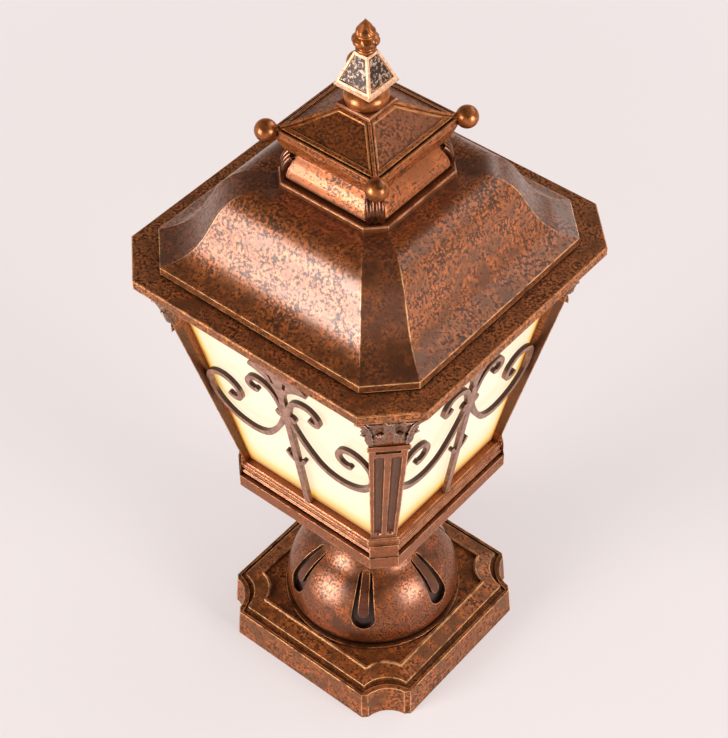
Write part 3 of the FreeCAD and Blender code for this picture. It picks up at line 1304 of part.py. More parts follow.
def bracket_screws():
    pair = []
    for side in (-1, 1):
        shank = rod(POST_SCREW_RADIUS, BRACKET_THICK + TRAY_FLOOR / 2, side * bracket_screw_x(), 0,
                    FLOOR_Z - TRAY_FLOOR / 2)
        head = rod(POST_SCREW_HEAD_RADIUS, POST_SCREW_HEAD_RISE, side * bracket_screw_x(), 0,
                   FLOOR_Z + BRACKET_THICK)
        pair.append(shank.fuse(head))
    return pair


def lampholder():
    body = rod(HOLDER_BASE_RADIUS, HOLDER_BASE_RISE, 0, 0, HOLDER_Z)
    body = body.fuse(Part.makeCone(HOLDER_BASE_RADIUS, HOLDER_RADIUS, HOLDER_BASE_RISE,
                                   V(0, 0, HOLDER_Z + HOLDER_BASE_RISE)))
    upper = HOLDER_RISE - 2 * HOLDER_BASE_RISE
    body = body.fuse(rod(HOLDER_RADIUS, upper, 0, 0, HOLDER_Z + 2 * HOLDER_BASE_RISE))
    socket = rod(LAMP_CAP_RADIUS + LAMP_CAP_CLEARANCE, HOLDER_RISE, 0, 0, HOLDER_Z + HOLDER_FLOOR)
    throat = rod(BULB_NECK_RADIUS + 2 * BULB_CLEARANCE, HOLDER_RISE, 0, 0, LAMP_Z + LAMP_CAP_RISE - BULB_CLEARANCE)
    return body.cut([socket, throat]).removeSplitter()


def lamp_cap():
    contact = rod(LAMP_CAP_RADIUS / 2, LAMP_CAP_RISE / 6, 0, 0, LAMP_Z)
    cone = Part.makeCone(LAMP_CAP_RADIUS / 2, LAMP_CAP_RADIUS, LAMP_CAP_RISE / 6, V(0, 0, LAMP_Z + LAMP_CAP_RISE / 6))
    shell = rod(LAMP_CAP_RADIUS, LAMP_CAP_RISE * 2 / 3, 0, 0, LAMP_Z + LAMP_CAP_RISE / 3)
    return contact.fuse([cone, shell]).removeSplitter()


def lamp_bulb():
    foot = LAMP_Z + LAMP_CAP_RISE
    centre = foot + BULB_RISE - BULB_RADIUS
    join = math.radians(BULB_JOIN_ANGLE)
    neck = [(BULB_NECK_RADIUS * r, foot + BULB_RISE * z) for r, z in BULB_NECK_SHARES]
    neck.append((BULB_RADIUS * math.cos(join), centre - BULB_RADIUS * math.sin(join)))
    crown = arc(neck[-1], (BULB_RADIUS, centre), (0, centre + BULB_RADIUS))
    return spin([smooth(neck), crown] + lines([(0, centre + BULB_RADIUS), (0, foot), neck[0]]))


def terminal_block():
    body = block(BLOCK_LENGTH, BLOCK_WIDTH, BLOCK_RISE, 0, BLOCK_Y, FLOOR_Z)
    pitch = BLOCK_LENGTH / BLOCK_POLES
    cutters = []
    for pole in range(BLOCK_POLES):
        x = (pole - (BLOCK_POLES - 1) / 2) * pitch
        cutters.append(rod(BLOCK_SCREW_RADIUS, BLOCK_RISE, x, BLOCK_Y, FLOOR_Z + BLOCK_RISE / 2))
        cutters.append(Part.makeCylinder(BLOCK_WIRE_RADIUS, BLOCK_WIDTH + 2 * OVERRUN,
                                         V(x, BLOCK_Y - BLOCK_WIDTH / 2 - OVERRUN, FLOOR_Z + BLOCK_RISE / 3),
                                         V(0, 1, 0)))
    return body.cut(cutters)


def earth_screw():
    head = rod(EARTH_HEAD_RADIUS, EARTH_HEAD_RISE, EARTH_X, EARTH_Y, FLOOR_Z + EARTH_STUD_RISE)
    return head.fuse(rod(EARTH_RADIUS, EARTH_STUD_RISE, EARTH_X, EARTH_Y, FLOOR_Z))


def build():
    """Every piece by the name of its node."""
    corners = ("front_right", "back_right", "back_left", "front_left")
    sides = ("front", "right", "back", "left")
    pieces = {
        "plinth": plinth(), "fluted_skirt": fluted_skirt(), "neck_ring": neck_ring(),
        "neck_foot": neck_foot(), "neck_vase": neck_vase(), "tray": tray(), "top_ring": top_ring(),
        "roof_gasket": roof_gasket(), "yoke_bar": yoke_bar(), "tie_rod": tie_rod(),
        "rod_thread": rod_thread(), "rod_nuts": rod_nuts(),
        "post_screws_lower": Part.makeCompound(around(lower_screw())),
        "post_screws_upper": Part.makeCompound(around(upper_screw())),
        "yoke_screws": Part.makeCompound(yoke_screw_pair()),
        "threaded_tube": threaded_tube(), "tube_washer": tube_washer(),
        "tube_nut_lower": tube_nut(TUBE_NUT_Z), "tube_nut_upper": tube_nut(FLOOR_Z),
        "cable_bush": cable_bush(), "holder_bracket": holder_bracket(),
        "bracket_screws": Part.makeCompound(bracket_screws()), "lampholder": lampholder(),
        "lamp_cap": lamp_cap(), "lamp_bulb": lamp_bulb(), "terminal_block": terminal_block(),
        "earth_screw": earth_screw(), "eave_plate": eave_plate(), "bell_roof": bell_roof(),
        "eave_screws": Part.makeCompound(around(eave_screw())), "collar_plate": collar_plate(),
        "crown_neck": crown_neck(), "cap_roof": cap_roof(), "finial_plate": finial_plate(),
        "finial_ball": finial_ball(), "finial_pyramid": finial_pyramid(), "finial_bud": finial_bud(),
    }
    for name, shape, places in (("post", post(), corners), ("claw", claw(), corners),
                                ("corner_ball", corner_ball(), corners), ("glass", glass(), sides),
                                ("grille", grille(), sides)):
        for quarter, place in enumerate(places):
            pieces[f"{name}_{place}"] = turned(shape, quarter)
    return pieces


os.makedirs("parts", exist_ok=True)
for node, shape in build().items():
    shape.exportStep(f"parts/{node}.step")
    print(node, len(shape.Solids), round(shape.Volume), shape.isValid())
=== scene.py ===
import math

import bmesh
import bpy
from mathutils import Matrix, Vector


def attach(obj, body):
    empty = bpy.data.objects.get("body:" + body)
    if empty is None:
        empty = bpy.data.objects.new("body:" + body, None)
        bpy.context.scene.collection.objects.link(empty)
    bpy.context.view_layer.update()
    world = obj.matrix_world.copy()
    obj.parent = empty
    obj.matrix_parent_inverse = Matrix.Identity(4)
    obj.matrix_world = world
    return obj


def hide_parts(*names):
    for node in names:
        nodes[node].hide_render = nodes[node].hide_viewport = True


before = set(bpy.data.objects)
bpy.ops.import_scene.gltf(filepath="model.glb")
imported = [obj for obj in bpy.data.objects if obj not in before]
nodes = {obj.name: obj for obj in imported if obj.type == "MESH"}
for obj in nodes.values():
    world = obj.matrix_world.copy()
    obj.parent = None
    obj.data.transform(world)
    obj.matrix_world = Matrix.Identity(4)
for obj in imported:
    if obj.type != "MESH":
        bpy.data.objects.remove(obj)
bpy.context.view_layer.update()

CORNERS = ("front_right", "back_right", "back_left", "front_left")

# Samples of the shader nodes that look round a point, and the Mix node's colour sockets.
BEVEL_SAMPLES = 6
CAVITY_SAMPLES = 8
MIX_FIRST, MIX_SECOND, MIX_RESULT = 6, 7, 2


class Wire:
    """A shader socket that can stand in a sum, a difference or a product."""

    def __init__(self, finish, socket):
        self.finish = finish
        self.socket = socket

    def math(self, operation, first, second=0.0):
        return self.finish.node("ShaderNodeMath", {"operation": operation}, {0: first, 1: second})

    def __add__(self, other):
        return self.math("ADD", self, other)

    def __radd__(self, other):
        return self.math("ADD", other, self)

    def __sub__(self, other):
        return self.math("SUBTRACT", self, other)

    def __rsub__(self, other):
        return self.math("SUBTRACT", other, self)

    def __mul__(self, other):
        return self.math("MULTIPLY", self, other)

    def __rmul__(self, other):
        return self.math("MULTIPLY", other, self)

    def __abs__(self):
        return self.math("ABSOLUTE", self)

    def larger(self, other):
        return self.math("MAXIMUM", self, other)

    def smaller(self, other):
        return self.math("MINIMUM", self, other)

    def root(self):
        return self.math("SQRT", self)

    def exponential(self):
        return self.math("EXPONENT", self)


class Finish:
    """The node tree of one material, or of the room."""

    def __init__(self, name, owner=None):
        self.owner = owner or bpy.data.materials.new(name)
        self.owner.use_nodes = True
        self.tree = self.owner.node_tree
        self.tree.nodes.clear()

    def node(self, kind, settings=None, sockets=None, output=0):
        made = self.tree.nodes.new(kind)
        for name, value in (settings or {}).items():
            if name == "stops":
                self.set_stops(made.color_ramp, value)
            else:
                setattr(made, name, value)
        for name, value in (sockets or {}).items():
            if isinstance(value, Wire):
                self.tree.links.new(value.socket, made.inputs[name])
            else:
                made.inputs[name].default_value = value
        return Wire(self, made.outputs[output]) if made.outputs else None

    @staticmethod
    def set_stops(ramp, stops):
        while len(ramp.elements) < len(stops):
            ramp.elements.new(1.0)
        for element, (place, shade) in zip(ramp.elements, stops):
            element.position = place
            element.color = paint(shade)

    def place(self):
        return self.node("ShaderNodeTexCoord", output="Object")

    def mix(self, share, first, second):
        colours = {0: share, MIX_FIRST: paint(first), MIX_SECOND: paint(second)}
        return self.node("ShaderNodeMix", {"data_type": "RGBA"}, colours, MIX_RESULT)

    def step(self, value, low, high):
        """Nought below low, one above high and a smooth rise between."""
        return self.node(
            "ShaderNodeMapRange",
            {"interpolation_type": "SMOOTHSTEP"},
            {"Value": value, "From Min": low, "From Max": high, "To Min": 0.0, "To Max": 1.0},
        )

    def grain(self, size, detail=3.0, roughness=0.5, shift=0.0, stretch=(1, 1, 1)):
        """Noise with lumps of about this size in metres."""
        spot = self.node(
            "ShaderNodeMapping",
            {},
            {"Vector": self.place(), "Location": (shift, shift, shift), "Scale": stretch},
        )
        return self.node(
            "ShaderNodeTexNoise",
            {},
            {"Vector": spot, "Scale": 1 / size, "Detail": detail, "Roughness": roughness},
        )

    def rounded(self, radius):
        """The normal that the surface has with its edges rounded by this radius."""
        return self.node("ShaderNodeBevel", {"samples": BEVEL_SAMPLES}, {"Radius": radius})

    def edge(self, reach):
        """Near one beside every edge within this reach, nought on open surfaces."""
        soft = self.rounded(reach)
        flat = self.node("ShaderNodeNewGeometry", output="Normal")
        level = self.node(
            "ShaderNodeVectorMath", {"operation": "DOT_PRODUCT"}, {0: soft, 1: flat}, "Value"
        )
        return self.step(1 - level, 0.002, 0.030)

    def cavity(self, reach):
        """One in hollows and corners within this reach, nought on open surfaces."""
        light = self.node(
            "ShaderNodeAmbientOcclusion",
            {"only_local": False, "samples": CAVITY_SAMPLES},
            {"Distance": reach},
            "AO",
        )
        return 1 - light

    def axes(self, vector):
        split = self.node("ShaderNodeSeparateXYZ", {}, {"Vector": vector})
        return [Wire(self, split.socket.node.outputs[name]) for name in "XYZ"]

    def plan(self):
        """Larger and smaller distance from the axis, square to the sides, and the height."""
        east, north, up = self.axes(self.place())
        east, north = abs(east), abs(north)
        return east.larger(north), east.smaller(north), up

    def seen(self):
        """One for what the camera sees, also by reflection or through glass."""
        path = self.node("ShaderNodeLightPath", output="Is Camera Ray")
        outputs = path.socket.node.outputs
        first = path.larger(Wire(self, outputs["Is Glossy Ray"]))
        return first.larger(Wire(self, outputs["Is Transmission Ray"]))

    def relief(self, height, depth, round_off=0.0006):
        """A normal from rounded edges and this height, which is depth metres at one."""
        soft = self.rounded(round_off)
        return self.node("ShaderNodeBump", {}, {"Height": height, "Distance": depth, "Normal": soft})

    def surface(self, **sockets):
        named = {name.replace("_", " "): value for name, value in sockets.items()}
        shader = self.node("ShaderNodeBsdfPrincipled", {}, named)
        self.node("ShaderNodeOutputMaterial", {}, {"Surface": shader})
        return self.owner


def paint(shade):
    """A colour written as red, green and blue from 0 to 255, or a wire as it is."""
    if isinstance(shade, Wire):
        return shade
    return (*(linear(value / 255) for value in shade), 1.0)


def linear(value):
    return value / 12.92 if value <= 0.04045 else ((value + 0.055) / 1.055) ** 2.4


# Colours of the antique copper lacquer, with its edges lighter for wear and painted
# highlights and its painted shade in hollows, and the tint of its highlights.
LACQUER_GLOW = (214, 108, 42)
BLOT_BROWN = (60, 30, 14)
BLOT_CHARCOAL = (32, 17, 12)
LACQUER_DUST = (226, 150, 98)
# Painted shade in hollows and corners.
PAINTED_HOLLOW_SHADE = (32, 14, 7)
# Edge colours: lighter for wear, with painted highlights there too.
WEAR_AND_HIGHLIGHT_COPPER = (240, 164, 100)
PALE_WEAR_AND_HIGHLIGHT_COPPER = (250, 190, 130)
LACQUER_SHINE = (1.0, 0.68, 0.44, 1.0)

# Where the noise turns into a blot: the start with none, what a full share takes off it,
# the softness of the rim, and the dark core's start and end past the blot's own start.
BLOT_START = 0.565
BLOT_GAIN = 0.12
BLOT_SOFTNESS = 0.080
CORE_START = 0.095
CORE_END = 0.155


def patina(name, base, flecks, fleck_size=0.0024, rough=0.40, depth=0.00012, wear_and_highlight=WEAR_AND_HIGHLIGHT_COPPER,
           shift=0.0, metal=0.52, coat=0.34, clouds=1.0, reach=0.010, round_off=0.0006, wear_and_highlight_size=0.0010,
           darker_tone_and_shade=None):
    """Antique copper lacquer: orange brown with charcoal blots, lighter along the edges for wear
    and painted highlights, and darker in the hollows with painted shade.

    flecks is the share of blots and clouds the strength of the light and dark clouds. The
    sizes are in metres: of a blot, of the bump's depth, of the painted shade's reach out of a
    hollow, of the rounding of the edges and of the rim of wear and painted highlight. The last
    argument adds a piece's darker places: its own colour on some, painted shade on others.
    """
    tree = Finish(name)
    broad = tree.grain(0.034, 3.0, 0.55, shift)
    cloud = tree.grain(0.012, 4.0, 0.6, shift + 3)
    blot = tree.grain(fleck_size, 5.0, 0.68, shift + 7)
    fine = tree.grain(0.0009, 2.0, 0.5, shift + 11)
    edge = tree.edge(wear_and_highlight_size)
    hollow = tree.cavity(reach)

    dark = tuple((1 - 0.42 * clouds) * value for value in base)
    tone = tree.mix(tree.step(broad * 0.5 + cloud * 0.5, 0.38, 0.62), dark, base)
    tone = tree.mix(tree.step(cloud, 0.50, 0.68) * 0.5 * clouds, tone, LACQUER_GLOW)
    rise = blot + (broad - 0.5) * 0.30 + (cloud - 0.5) * 0.36
    start = BLOT_START - BLOT_GAIN * flecks
    fleck = tree.step(rise, start, start + BLOT_SOFTNESS)
    tone = tree.mix(fleck * 0.80, tone, BLOT_BROWN)
    tone = tree.mix(tree.step(rise, start + CORE_START, start + CORE_END) * 0.8, tone, BLOT_CHARCOAL)
    tone = tree.mix(tree.step(fine, 0.60, 0.72) * 0.30, tone, LACQUER_DUST)
    if darker_tone_and_shade:
        tone = darker_tone_and_shade(tree, tone, blot)
    # Lighter along the edges, away from hollows: wear, and painted highlights along them.
    rim = edge * (1 - tree.step(hollow, 0.30, 0.60))
    tone = tree.mix(rim * tree.step(cloud, 0.34, 0.56) * 0.9, tone, wear_and_highlight)
    # Painted shade: darker in hollows and corners, by the occlusion within the reach.
    tone = tree.mix(tree.step(hollow, 0.28, 0.80) * 0.88, tone, PAINTED_HOLLOW_SHADE)
    height = blot * 0.5 + cloud * 0.5 - fleck * 0.25
    return tree.surface(
        Base_Color=tone,
        Metallic=metal * (1 - fleck * 0.25),
        Roughness=rough + fleck * 0.16 + (cloud - 0.5) * 0.20,
        IOR=1.5,
        Specular_Tint=LACQUER_SHINE,
        Coat_Weight=coat * (1 - fleck * 0.3),
        Coat_Roughness=0.30,
        Coat_IOR=1.6,
        Normal=tree.relief(height, depth, round_off),
    )


# Each pair of lengths below is where a darker place starts and is full, in metres.

# The bell's facet starts where the smaller distance is this share of the larger.
FACET_SHARE = 0.7575
FACET_BLEND = 0.0012
# Painted shade on the corner facets.
PAINTED_FACET_SHADE = (70, 34, 18)


def painted_hip_shade(tree, tone, blot):
    """Painted shade: the bell's corner facets are darker than its sides."""
    wide, narrow, _ = tree.plan()
    facet = tree.step(narrow - wide * FACET_SHARE, 0.0, FACET_BLEND)
    return tree.mix(facet * 0.52, tone, PAINTED_FACET_SHADE)


# The arc of the foot's belly: the height and distance of its centre, and its radius.
BELLY_Z = 0.0492
BELLY_START = 0.01596
BELLY_RADIUS = 0.06384
POCKET_RIB = (0.0003, 0.0008)
POCKET_FLOOR = (0.0012, 0.0028)
RIB_BROWN = (84, 38, 18)
POCKET_BLACK = (40, 16, 9)
POCKET_BROWN = (46, 20, 12)


def darker_pockets(tree, tone, blot):
    """The flutes of the foot are nearly black between their ribs and the belly."""
    east, north, up = tree.axes(tree.place())
    lift = up - BELLY_Z
    belly = BELLY_START + (BELLY_RADIUS ** 2 - lift * lift).root()
    sunk = belly - (east * east + north * north).root()
    ribbed = tree.mix(tree.step(sunk, *POCKET_RIB) * 0.75, tone, RIB_BROWN)
    return tree.mix(tree.step(sunk, *POCKET_FLOOR), ribbed, tree.mix(blot, POCKET_BLACK, POCKET_BROWN))


# The lantern's lean: at the sill's height, the posts' sides and outer faces stand this far
# from the axis, and they gain the growth with each metre of height.
SILL_Z = 0.229
POST_SIDE_AT_SILL = 0.0706
POST_SIDE_GROWTH = 0.1745
FACE_AT_SILL = 0.11052
FACE_GROWTH = 0.2751
SHAFT_FOOT = (0.2385, 0.2390)
SHAFT_HEAD = (0.4000, 0.4005)
FLUTE_LIP = (0.0003, 0.0009)
FLUTE_FLOOR = (0.0050, 0.0060)
# Painted shade in the flutes and the sunk panel.
PAINTED_FLUTE_SHADE = (70, 42, 32)


def painted_flute_shade(tree, tone, blot):
    """Painted shade: the flutes and the sunk panel of each post are darker than its face."""
    east, north, up = tree.axes(tree.place())
    sunk = FACE_AT_SILL + FACE_GROWTH * (up - SILL_Z) - (abs(east) + abs(north)) * math.sqrt(0.5)
    shaft = tree.step(up, *SHAFT_FOOT) * (1 - tree.step(up, *SHAFT_HEAD))
    beside = tree.step(sunk, *FLUTE_LIP) * (1 - tree.step(sunk, *FLUTE_FLOOR))
    return tree.mix(shaft * beside * (0.55 + blot * 0.2), tone, PAINTED_FLUTE_SHADE)


CAP_PANEL_SIDE = (0.0048, 0.0056)
CAP_PANEL_HEAD = (0.0172, 0.0178)
CAP_PANEL_FOOT = (0.0430, 0.0438)
CAP_PANEL_BROWN = (70, 34, 20)


def darker_panels(tree, tone, blot):
    """The sunk panels of the cap are darker than the frames round them."""
    wide, narrow, _ = tree.plan()
    panel = 0.6 * tree.step(wide - narrow, *CAP_PANEL_SIDE)
    panel = panel * tree.step(wide, *CAP_PANEL_HEAD) * (1 - tree.step(wide, *CAP_PANEL_FOOT))
    return tree.mix(panel * (0.30 + blot * 0.7), tone, CAP_PANEL_BROWN)


# The finial's pyramid: the height of its foot, its panels' half width there, and what they
# lose for each metre of height.
PYRAMID_Z = 0.6292
PYRAMID_PANEL_HALF = 0.0140
PYRAMID_TAPER = 0.382
PYRAMID_BLEND = 0.0004
PYRAMID_PANEL_FOOT = (0.6314, 0.6318)
PYRAMID_PANEL_HEAD = (0.6528, 0.6534)
PANEL_BLACK = (40, 24, 20)
PANEL_FLECK = (190, 158, 138)
FRAME_PALE = (226, 190, 160)
FRAME_COPPER = (170, 104, 66)


def pyramid_panels(tree, tone, blot):
    """The pyramid's sunk panels are nearly black with pale flecks, its frames pale."""
    wide, narrow, up = tree.plan()
    spread = PYRAMID_PANEL_HALF - (up - PYRAMID_Z) * PYRAMID_TAPER
    panel = 1 - tree.step(narrow, spread - PYRAMID_BLEND, spread)
    panel = panel * tree.step(up, *PYRAMID_PANEL_FOOT) * (1 - tree.step(up, *PYRAMID_PANEL_HEAD))
    rubbed = tree.mix(tree.step(blot, 0.50, 0.58), PANEL_BLACK, PANEL_FLECK)
    dusty = tree.mix(tree.step(blot, 0.42, 0.60) * 0.6, FRAME_PALE, FRAME_COPPER)
    return tree.mix(panel, dusty, rubbed)


def plain_copper(name, base, rough):
    """Balls, beads and the finial: the same copper with few blots and more shine."""
    tree = Finish(name)
    cloud = tree.grain(0.007, 4.0, 0.6, 5)
    fine = tree.grain(0.0011, 3.0, 0.6, 9)
    edge = tree.edge(0.0009)
    hollow = tree.cavity(0.008)
    tone = tree.mix(tree.step(cloud, 0.36, 0.66), tuple(0.62 * value for value in base), base)
    fleck = tree.step(fine + (cloud - 0.5) * 0.3, 0.64, 0.72)
    tone = tree.mix(fleck * 0.6, tone, (62, 34, 22))
    # Painted shade in the hollows and corners, from the occlusion within 8 mm.
    tone = tree.mix(tree.step(hollow, 0.35, 0.90) * 0.85, tone, (46, 20, 10))
    # Lighter along the edges: wear, and painted highlights along them.
    tone = tree.mix(edge * 0.6, tone, (226, 140, 80))
    return tree.surface(
        Base_Color=tone,
        Metallic=0.7 - fleck * 0.4,
        Roughness=rough + cloud * 0.12,
        IOR=1.55,
        Specular_Tint=(1.0, 0.62, 0.36, 1.0),
        Coat_Weight=0.3,
        Coat_Roughness=0.16,
        Normal=tree.relief(fine, 0.00005),
    )


def grille_copper(name):
    """Cast scrolls: dusty pinkish faces, flanks painted nearly black as shade, edges lighter for wear and
    painted highlights.
    """
    tree = Finish(name)
    cloud = tree.grain(0.006, 4.0, 0.6, 2)
    fine = tree.grain(0.0012, 3.0, 0.6, 4)
    east, north, _ = tree.axes(tree.node("ShaderNodeNewGeometry", output="True Normal"))
    face = tree.step(abs(east).larger(abs(north)), 0.90, 0.97)
    front = tree.mix(tree.step(cloud, 0.38, 0.64), (128, 84, 66), (168, 122, 100))
    # Painted shade: the flanks, which face sideways, are painted nearly black.
    tone = tree.mix(face, (62, 33, 20), front)
    # Lighter along the edges: wear and painted highlights.
    tone = tree.mix(tree.edge(0.0007) * 0.45, tone, (206, 140, 100))
    tone = tree.mix(tree.step(fine, 0.58, 0.68) * 0.3, tone, (78, 46, 36))
    return tree.surface(
        Base_Color=tone,
        Metallic=0.35,
        Roughness=0.42 + cloud * 0.1,
        IOR=1.5,
        Coat_Weight=0.25,
        Coat_Roughness=0.3,
        Normal=tree.relief(fine * 0.5 + cloud * 0.5, 0.00008, 0.0013),
    )


# The glow of the panes, from their middle to their rims, and how fast the rim's colour fades
# with each metre from the posts and from the sill.
OPAL_STOPS = (
    (0.0, (255, 240, 208)), (0.12, (255, 236, 188)), (0.30, (255, 220, 132)),
    (0.60, (250, 186, 76)), (1.0, (190, 108, 26)),
)
FADE_FROM_POST = 250.0
FADE_FROM_SILL = 120.0
GLOW_DRIFT = 0.006


def opal_glass(name):
    """Lit opal pane: cream in the middle, orange beside the posts and the sill."""
    tree = Finish(name)
    _, across, up = tree.plan()
    beside = POST_SIDE_AT_SILL + POST_SIDE_GROWTH * (up - SILL_Z) - across
    above = up - SILL_Z
    drift = (tree.grain(0.05, 2.0, 0.5, 1) - 0.5) * GLOW_DRIFT
    past_post = 1 - 1.15 * ((beside + drift) * -FADE_FROM_POST).exponential()
    past_sill = 1 - 1.2 * ((above + drift) * -FADE_FROM_SILL).exponential()
    glow = tree.node("ShaderNodeValToRGB", {"stops": OPAL_STOPS}, {"Fac": 1 - past_post * past_sill})
    return tree.surface(
        Base_Color=tree.mix(tree.grain(0.02, 2.0), (116, 108, 92), (124, 116, 100)),
        Roughness=0.24,
        IOR=1.5,
        Emission_Color=glow,
        Emission_Strength=0.86,
        Normal=tree.relief(tree.grain(0.012, 2.0), 0.0001, 0.0004),
    )


def steel(name, light=(176, 178, 180), dark=(118, 120, 122), rough=0.34, tint=(150, 132, 104)):
    """Plated or bare metal that a lathe or a press has finished."""
    tree = Finish(name)
    cloud = tree.grain(0.006, 4.0, 0.6, 1)
    lines = tree.grain(0.0008, 2.0, 0.5, 2, (1, 1, 6))
    tone = tree.mix(tree.step(cloud, 0.36, 0.66), dark, light)
    tone = tree.mix(tree.step(tree.grain(0.0022, 3.0, 0.6, 6), 0.60, 0.74) * 0.4, tone, tint)
    return tree.surface(
        Base_Color=tone,
        Metallic=0.95,
        Roughness=rough + (lines - 0.5) * 0.3,
        IOR=1.5,
        Normal=tree.relief(lines, 0.00003, 0.0003),
    )


def moulded(name, light, dark, rough=0.4, pit=0.00004, size=0.0012):
    """Moulded plastic, glazed clay or rubber with its fine skin."""
    tree = Finish(name)
    cloud = tree.grain(0.009, 3.0, 0.5, 3)
    skin = tree.grain(size, 3.0, 0.6, 5)
    tone = tree.mix(tree.step(cloud * 0.6 + skin * 0.4, 0.38, 0.64), dark, light)
    return tree.surface(
        Base_Color=tone,
        Roughness=rough + (skin - 0.5) * 0.25,
        IOR=1.5,
        Normal=tree.relief(skin, pit, 0.0004),
    )


def lamp_glass(name):
    """Frosted bulb with a warm glow."""
    tree = Finish(name)
    cloud = tree.grain(0.015, 3.0, 0.5, 3)
    return tree.surface(
        Base_Color=tree.mix(cloud, (240, 232, 214), (250, 246, 236)),
        Roughness=0.3,
        IOR=1.5,
        Emission_Color=tree.mix(cloud, (255, 226, 176), (255, 238, 204)),
        Emission_Strength=1.6,
        Normal=tree.relief(cloud, 0.00005, 0.0004),
    )


bell_finish = patina("bell patina", (184, 98, 40), 0.74, 0.0026, rough=0.44, wear_and_highlight=PALE_WEAR_AND_HIGHLIGHT_COPPER, coat=0.85,
                     wear_and_highlight_size=0.0016, darker_tone_and_shade=painted_hip_shade)
crown_finish = patina("crown patina", (196, 102, 40), 0.50, rough=0.34, shift=13, coat=0.6, clouds=0.5,
                      round_off=0.0045)
brim_finish = patina("brim patina", (212, 124, 68), 0.80, rough=0.44, shift=21)
cap_finish = patina("cap patina", (200, 106, 44), 0.80, shift=33, clouds=0.6, darker_tone_and_shade=darker_panels)
pyramid_finish = patina("pyramid patina", (214, 150, 104), 0.0, 0.0026, rough=0.55, shift=39, coat=0.2,
                        darker_tone_and_shade=pyramid_panels)
foot_finish = patina("foot patina", (196, 110, 54), 0.66, 0.0027, wear_and_highlight=PALE_WEAR_AND_HIGHLIGHT_COPPER, shift=47,
                     round_off=0.0011, wear_and_highlight_size=0.0014)
bun_finish = patina("bun patina", (160, 82, 34), 0.60, 0.0021, rough=0.30, depth=0.00016, shift=55,
                    metal=0.66, coat=0.6, round_off=0.0015, darker_tone_and_shade=darker_pockets)
frame_finish = patina("frame patina", (166, 90, 48), 0.36, 0.0014, rough=0.36, wear_and_highlight=(240, 182, 136), shift=71,
                      clouds=0.55, reach=0.009, darker_tone_and_shade=painted_flute_shade)
ball_finish = plain_copper("polished copper", (180, 102, 50), 0.26)
claw_finish = plain_copper("claw copper", (104, 54, 30), 0.20)
scroll_finish = grille_copper("scroll copper")
pane_finish = opal_glass("lit opal")
zinc_finish = steel("zinc plate")
brass_finish = steel("brass", (206, 172, 98), (160, 124, 62), 0.28, (120, 84, 40))
nickel_finish = steel("nickel", (198, 194, 184), (150, 146, 138), 0.24, (120, 112, 96))
bulb_finish = lamp_glass("frosted bulb")
porcelain_finish = moulded("glazed holder", (236, 232, 222), (218, 212, 200), 0.22)
nylon_finish = moulded("black nylon", (34, 34, 36), (22, 22, 24), 0.48)
bush_finish = moulded("bush rubber", (30, 29, 29), (20, 19, 19), 0.66, 0.00008)
gasket_finish = moulded("foam rubber", (44, 42, 41), (26, 25, 25), 0.82, 0.00030, 0.0016)

FINISHES = {
    "plinth": foot_finish, "fluted_skirt": bun_finish, "neck_ring": bun_finish,
    "neck_foot": frame_finish, "neck_vase": frame_finish, "tray": frame_finish, "top_ring": frame_finish,
    "eave_plate": brim_finish, "bell_roof": bell_finish, "collar_plate": frame_finish,
    "crown_neck": crown_finish, "cap_roof": cap_finish, "finial_plate": frame_finish,
    "finial_ball": ball_finish, "finial_pyramid": pyramid_finish, "finial_bud": ball_finish,
    "roof_gasket": gasket_finish, "cable_bush": bush_finish, "terminal_block": nylon_finish,
    "lampholder": porcelain_finish, "lamp_cap": nickel_finish, "lamp_bulb": bulb_finish,
    "rod_nuts": brass_finish, "earth_screw": brass_finish,
}
PREFIXES = {
    "post_": frame_finish, "claw_": claw_finish, "corner_ball_": ball_finish,
    "glass_": pane_finish, "grille_": scroll_finish,
}


def finish_of(name):
    if name in FINISHES:
        return FINISHES[name]
    for start, finish in PREFIXES.items():
        if name.startswith(start) and "screws" not in name:
            return finish
    return zinc_finish


for name, node in nodes.items():
    node.data.materials.clear()
    node.data.materials.append(finish_of(name))


# The flare of a capital, in metres: heights, with the distance of its faces from the axis
# and where the corner's own face starts on them.
CAPITAL_STATIONS = ((0.4010, 0.1234, 0.1010), (0.4214, 0.12732, 0.10341), (0.4368, 0.13227, 0.10468),
                    (0.4456, 0.13671, 0.10458), (0.4500, 0.1380, 0.1050))

# A carved leaf: the number of its lobes, then in metres the height of its crown at the foot,
# what that gains to the tip, and the height of its veins and rib. The rib's width is a share.
LEAF_LOBES = 3.0
LEAF_CROWN = 0.0016
LEAF_CROWN_GAIN = 0.0010
LEAF_VEIN = 0.0005
LEAF_RIB = 0.0006
LEAF_RIB_WIDTH = 0.16

# Past these shares of its height the tip curls out, in metres, and nods down, as a share.
LEAF_CURL = 0.0024
LEAF_CURL_START = 0.55
LEAF_NOD = 0.10
LEAF_NOD_START = 0.75

# How deep its rim and its back lie in the casting, in metres, and the steps of its mesh.
LEAF_RIM = 0.0004
LEAF_BACK = 0.0012
LEAF_COLUMNS = 12
LEAF_ROWS = 16

# The leaves of a capital, in metres: each one's foot, height and half width, the places of
# those on the corner's face, and which way those on its two edges look and how they wrap it.
LOW_LEAF = (0.4095, 0.0200, 0.0068)
HIGH_LEAF = (0.4240, 0.0245, 0.0074)
LOW_EDGE_LEAF = (0.4110, 0.0185, 0.0048)
HIGH_EDGE_LEAF = (0.4250, 0.0230, 0.0056)
LOW_PLACES = (-0.0078, 0.0078)
HIGH_PLACES = (-0.0140, 0.0, 0.0140)
EDGE_WAYS = {-1: Vector((-0.38, -0.92, 0)), 1: Vector((0.92, 0.38, 0))}
EDGE_WRAP = 0.30


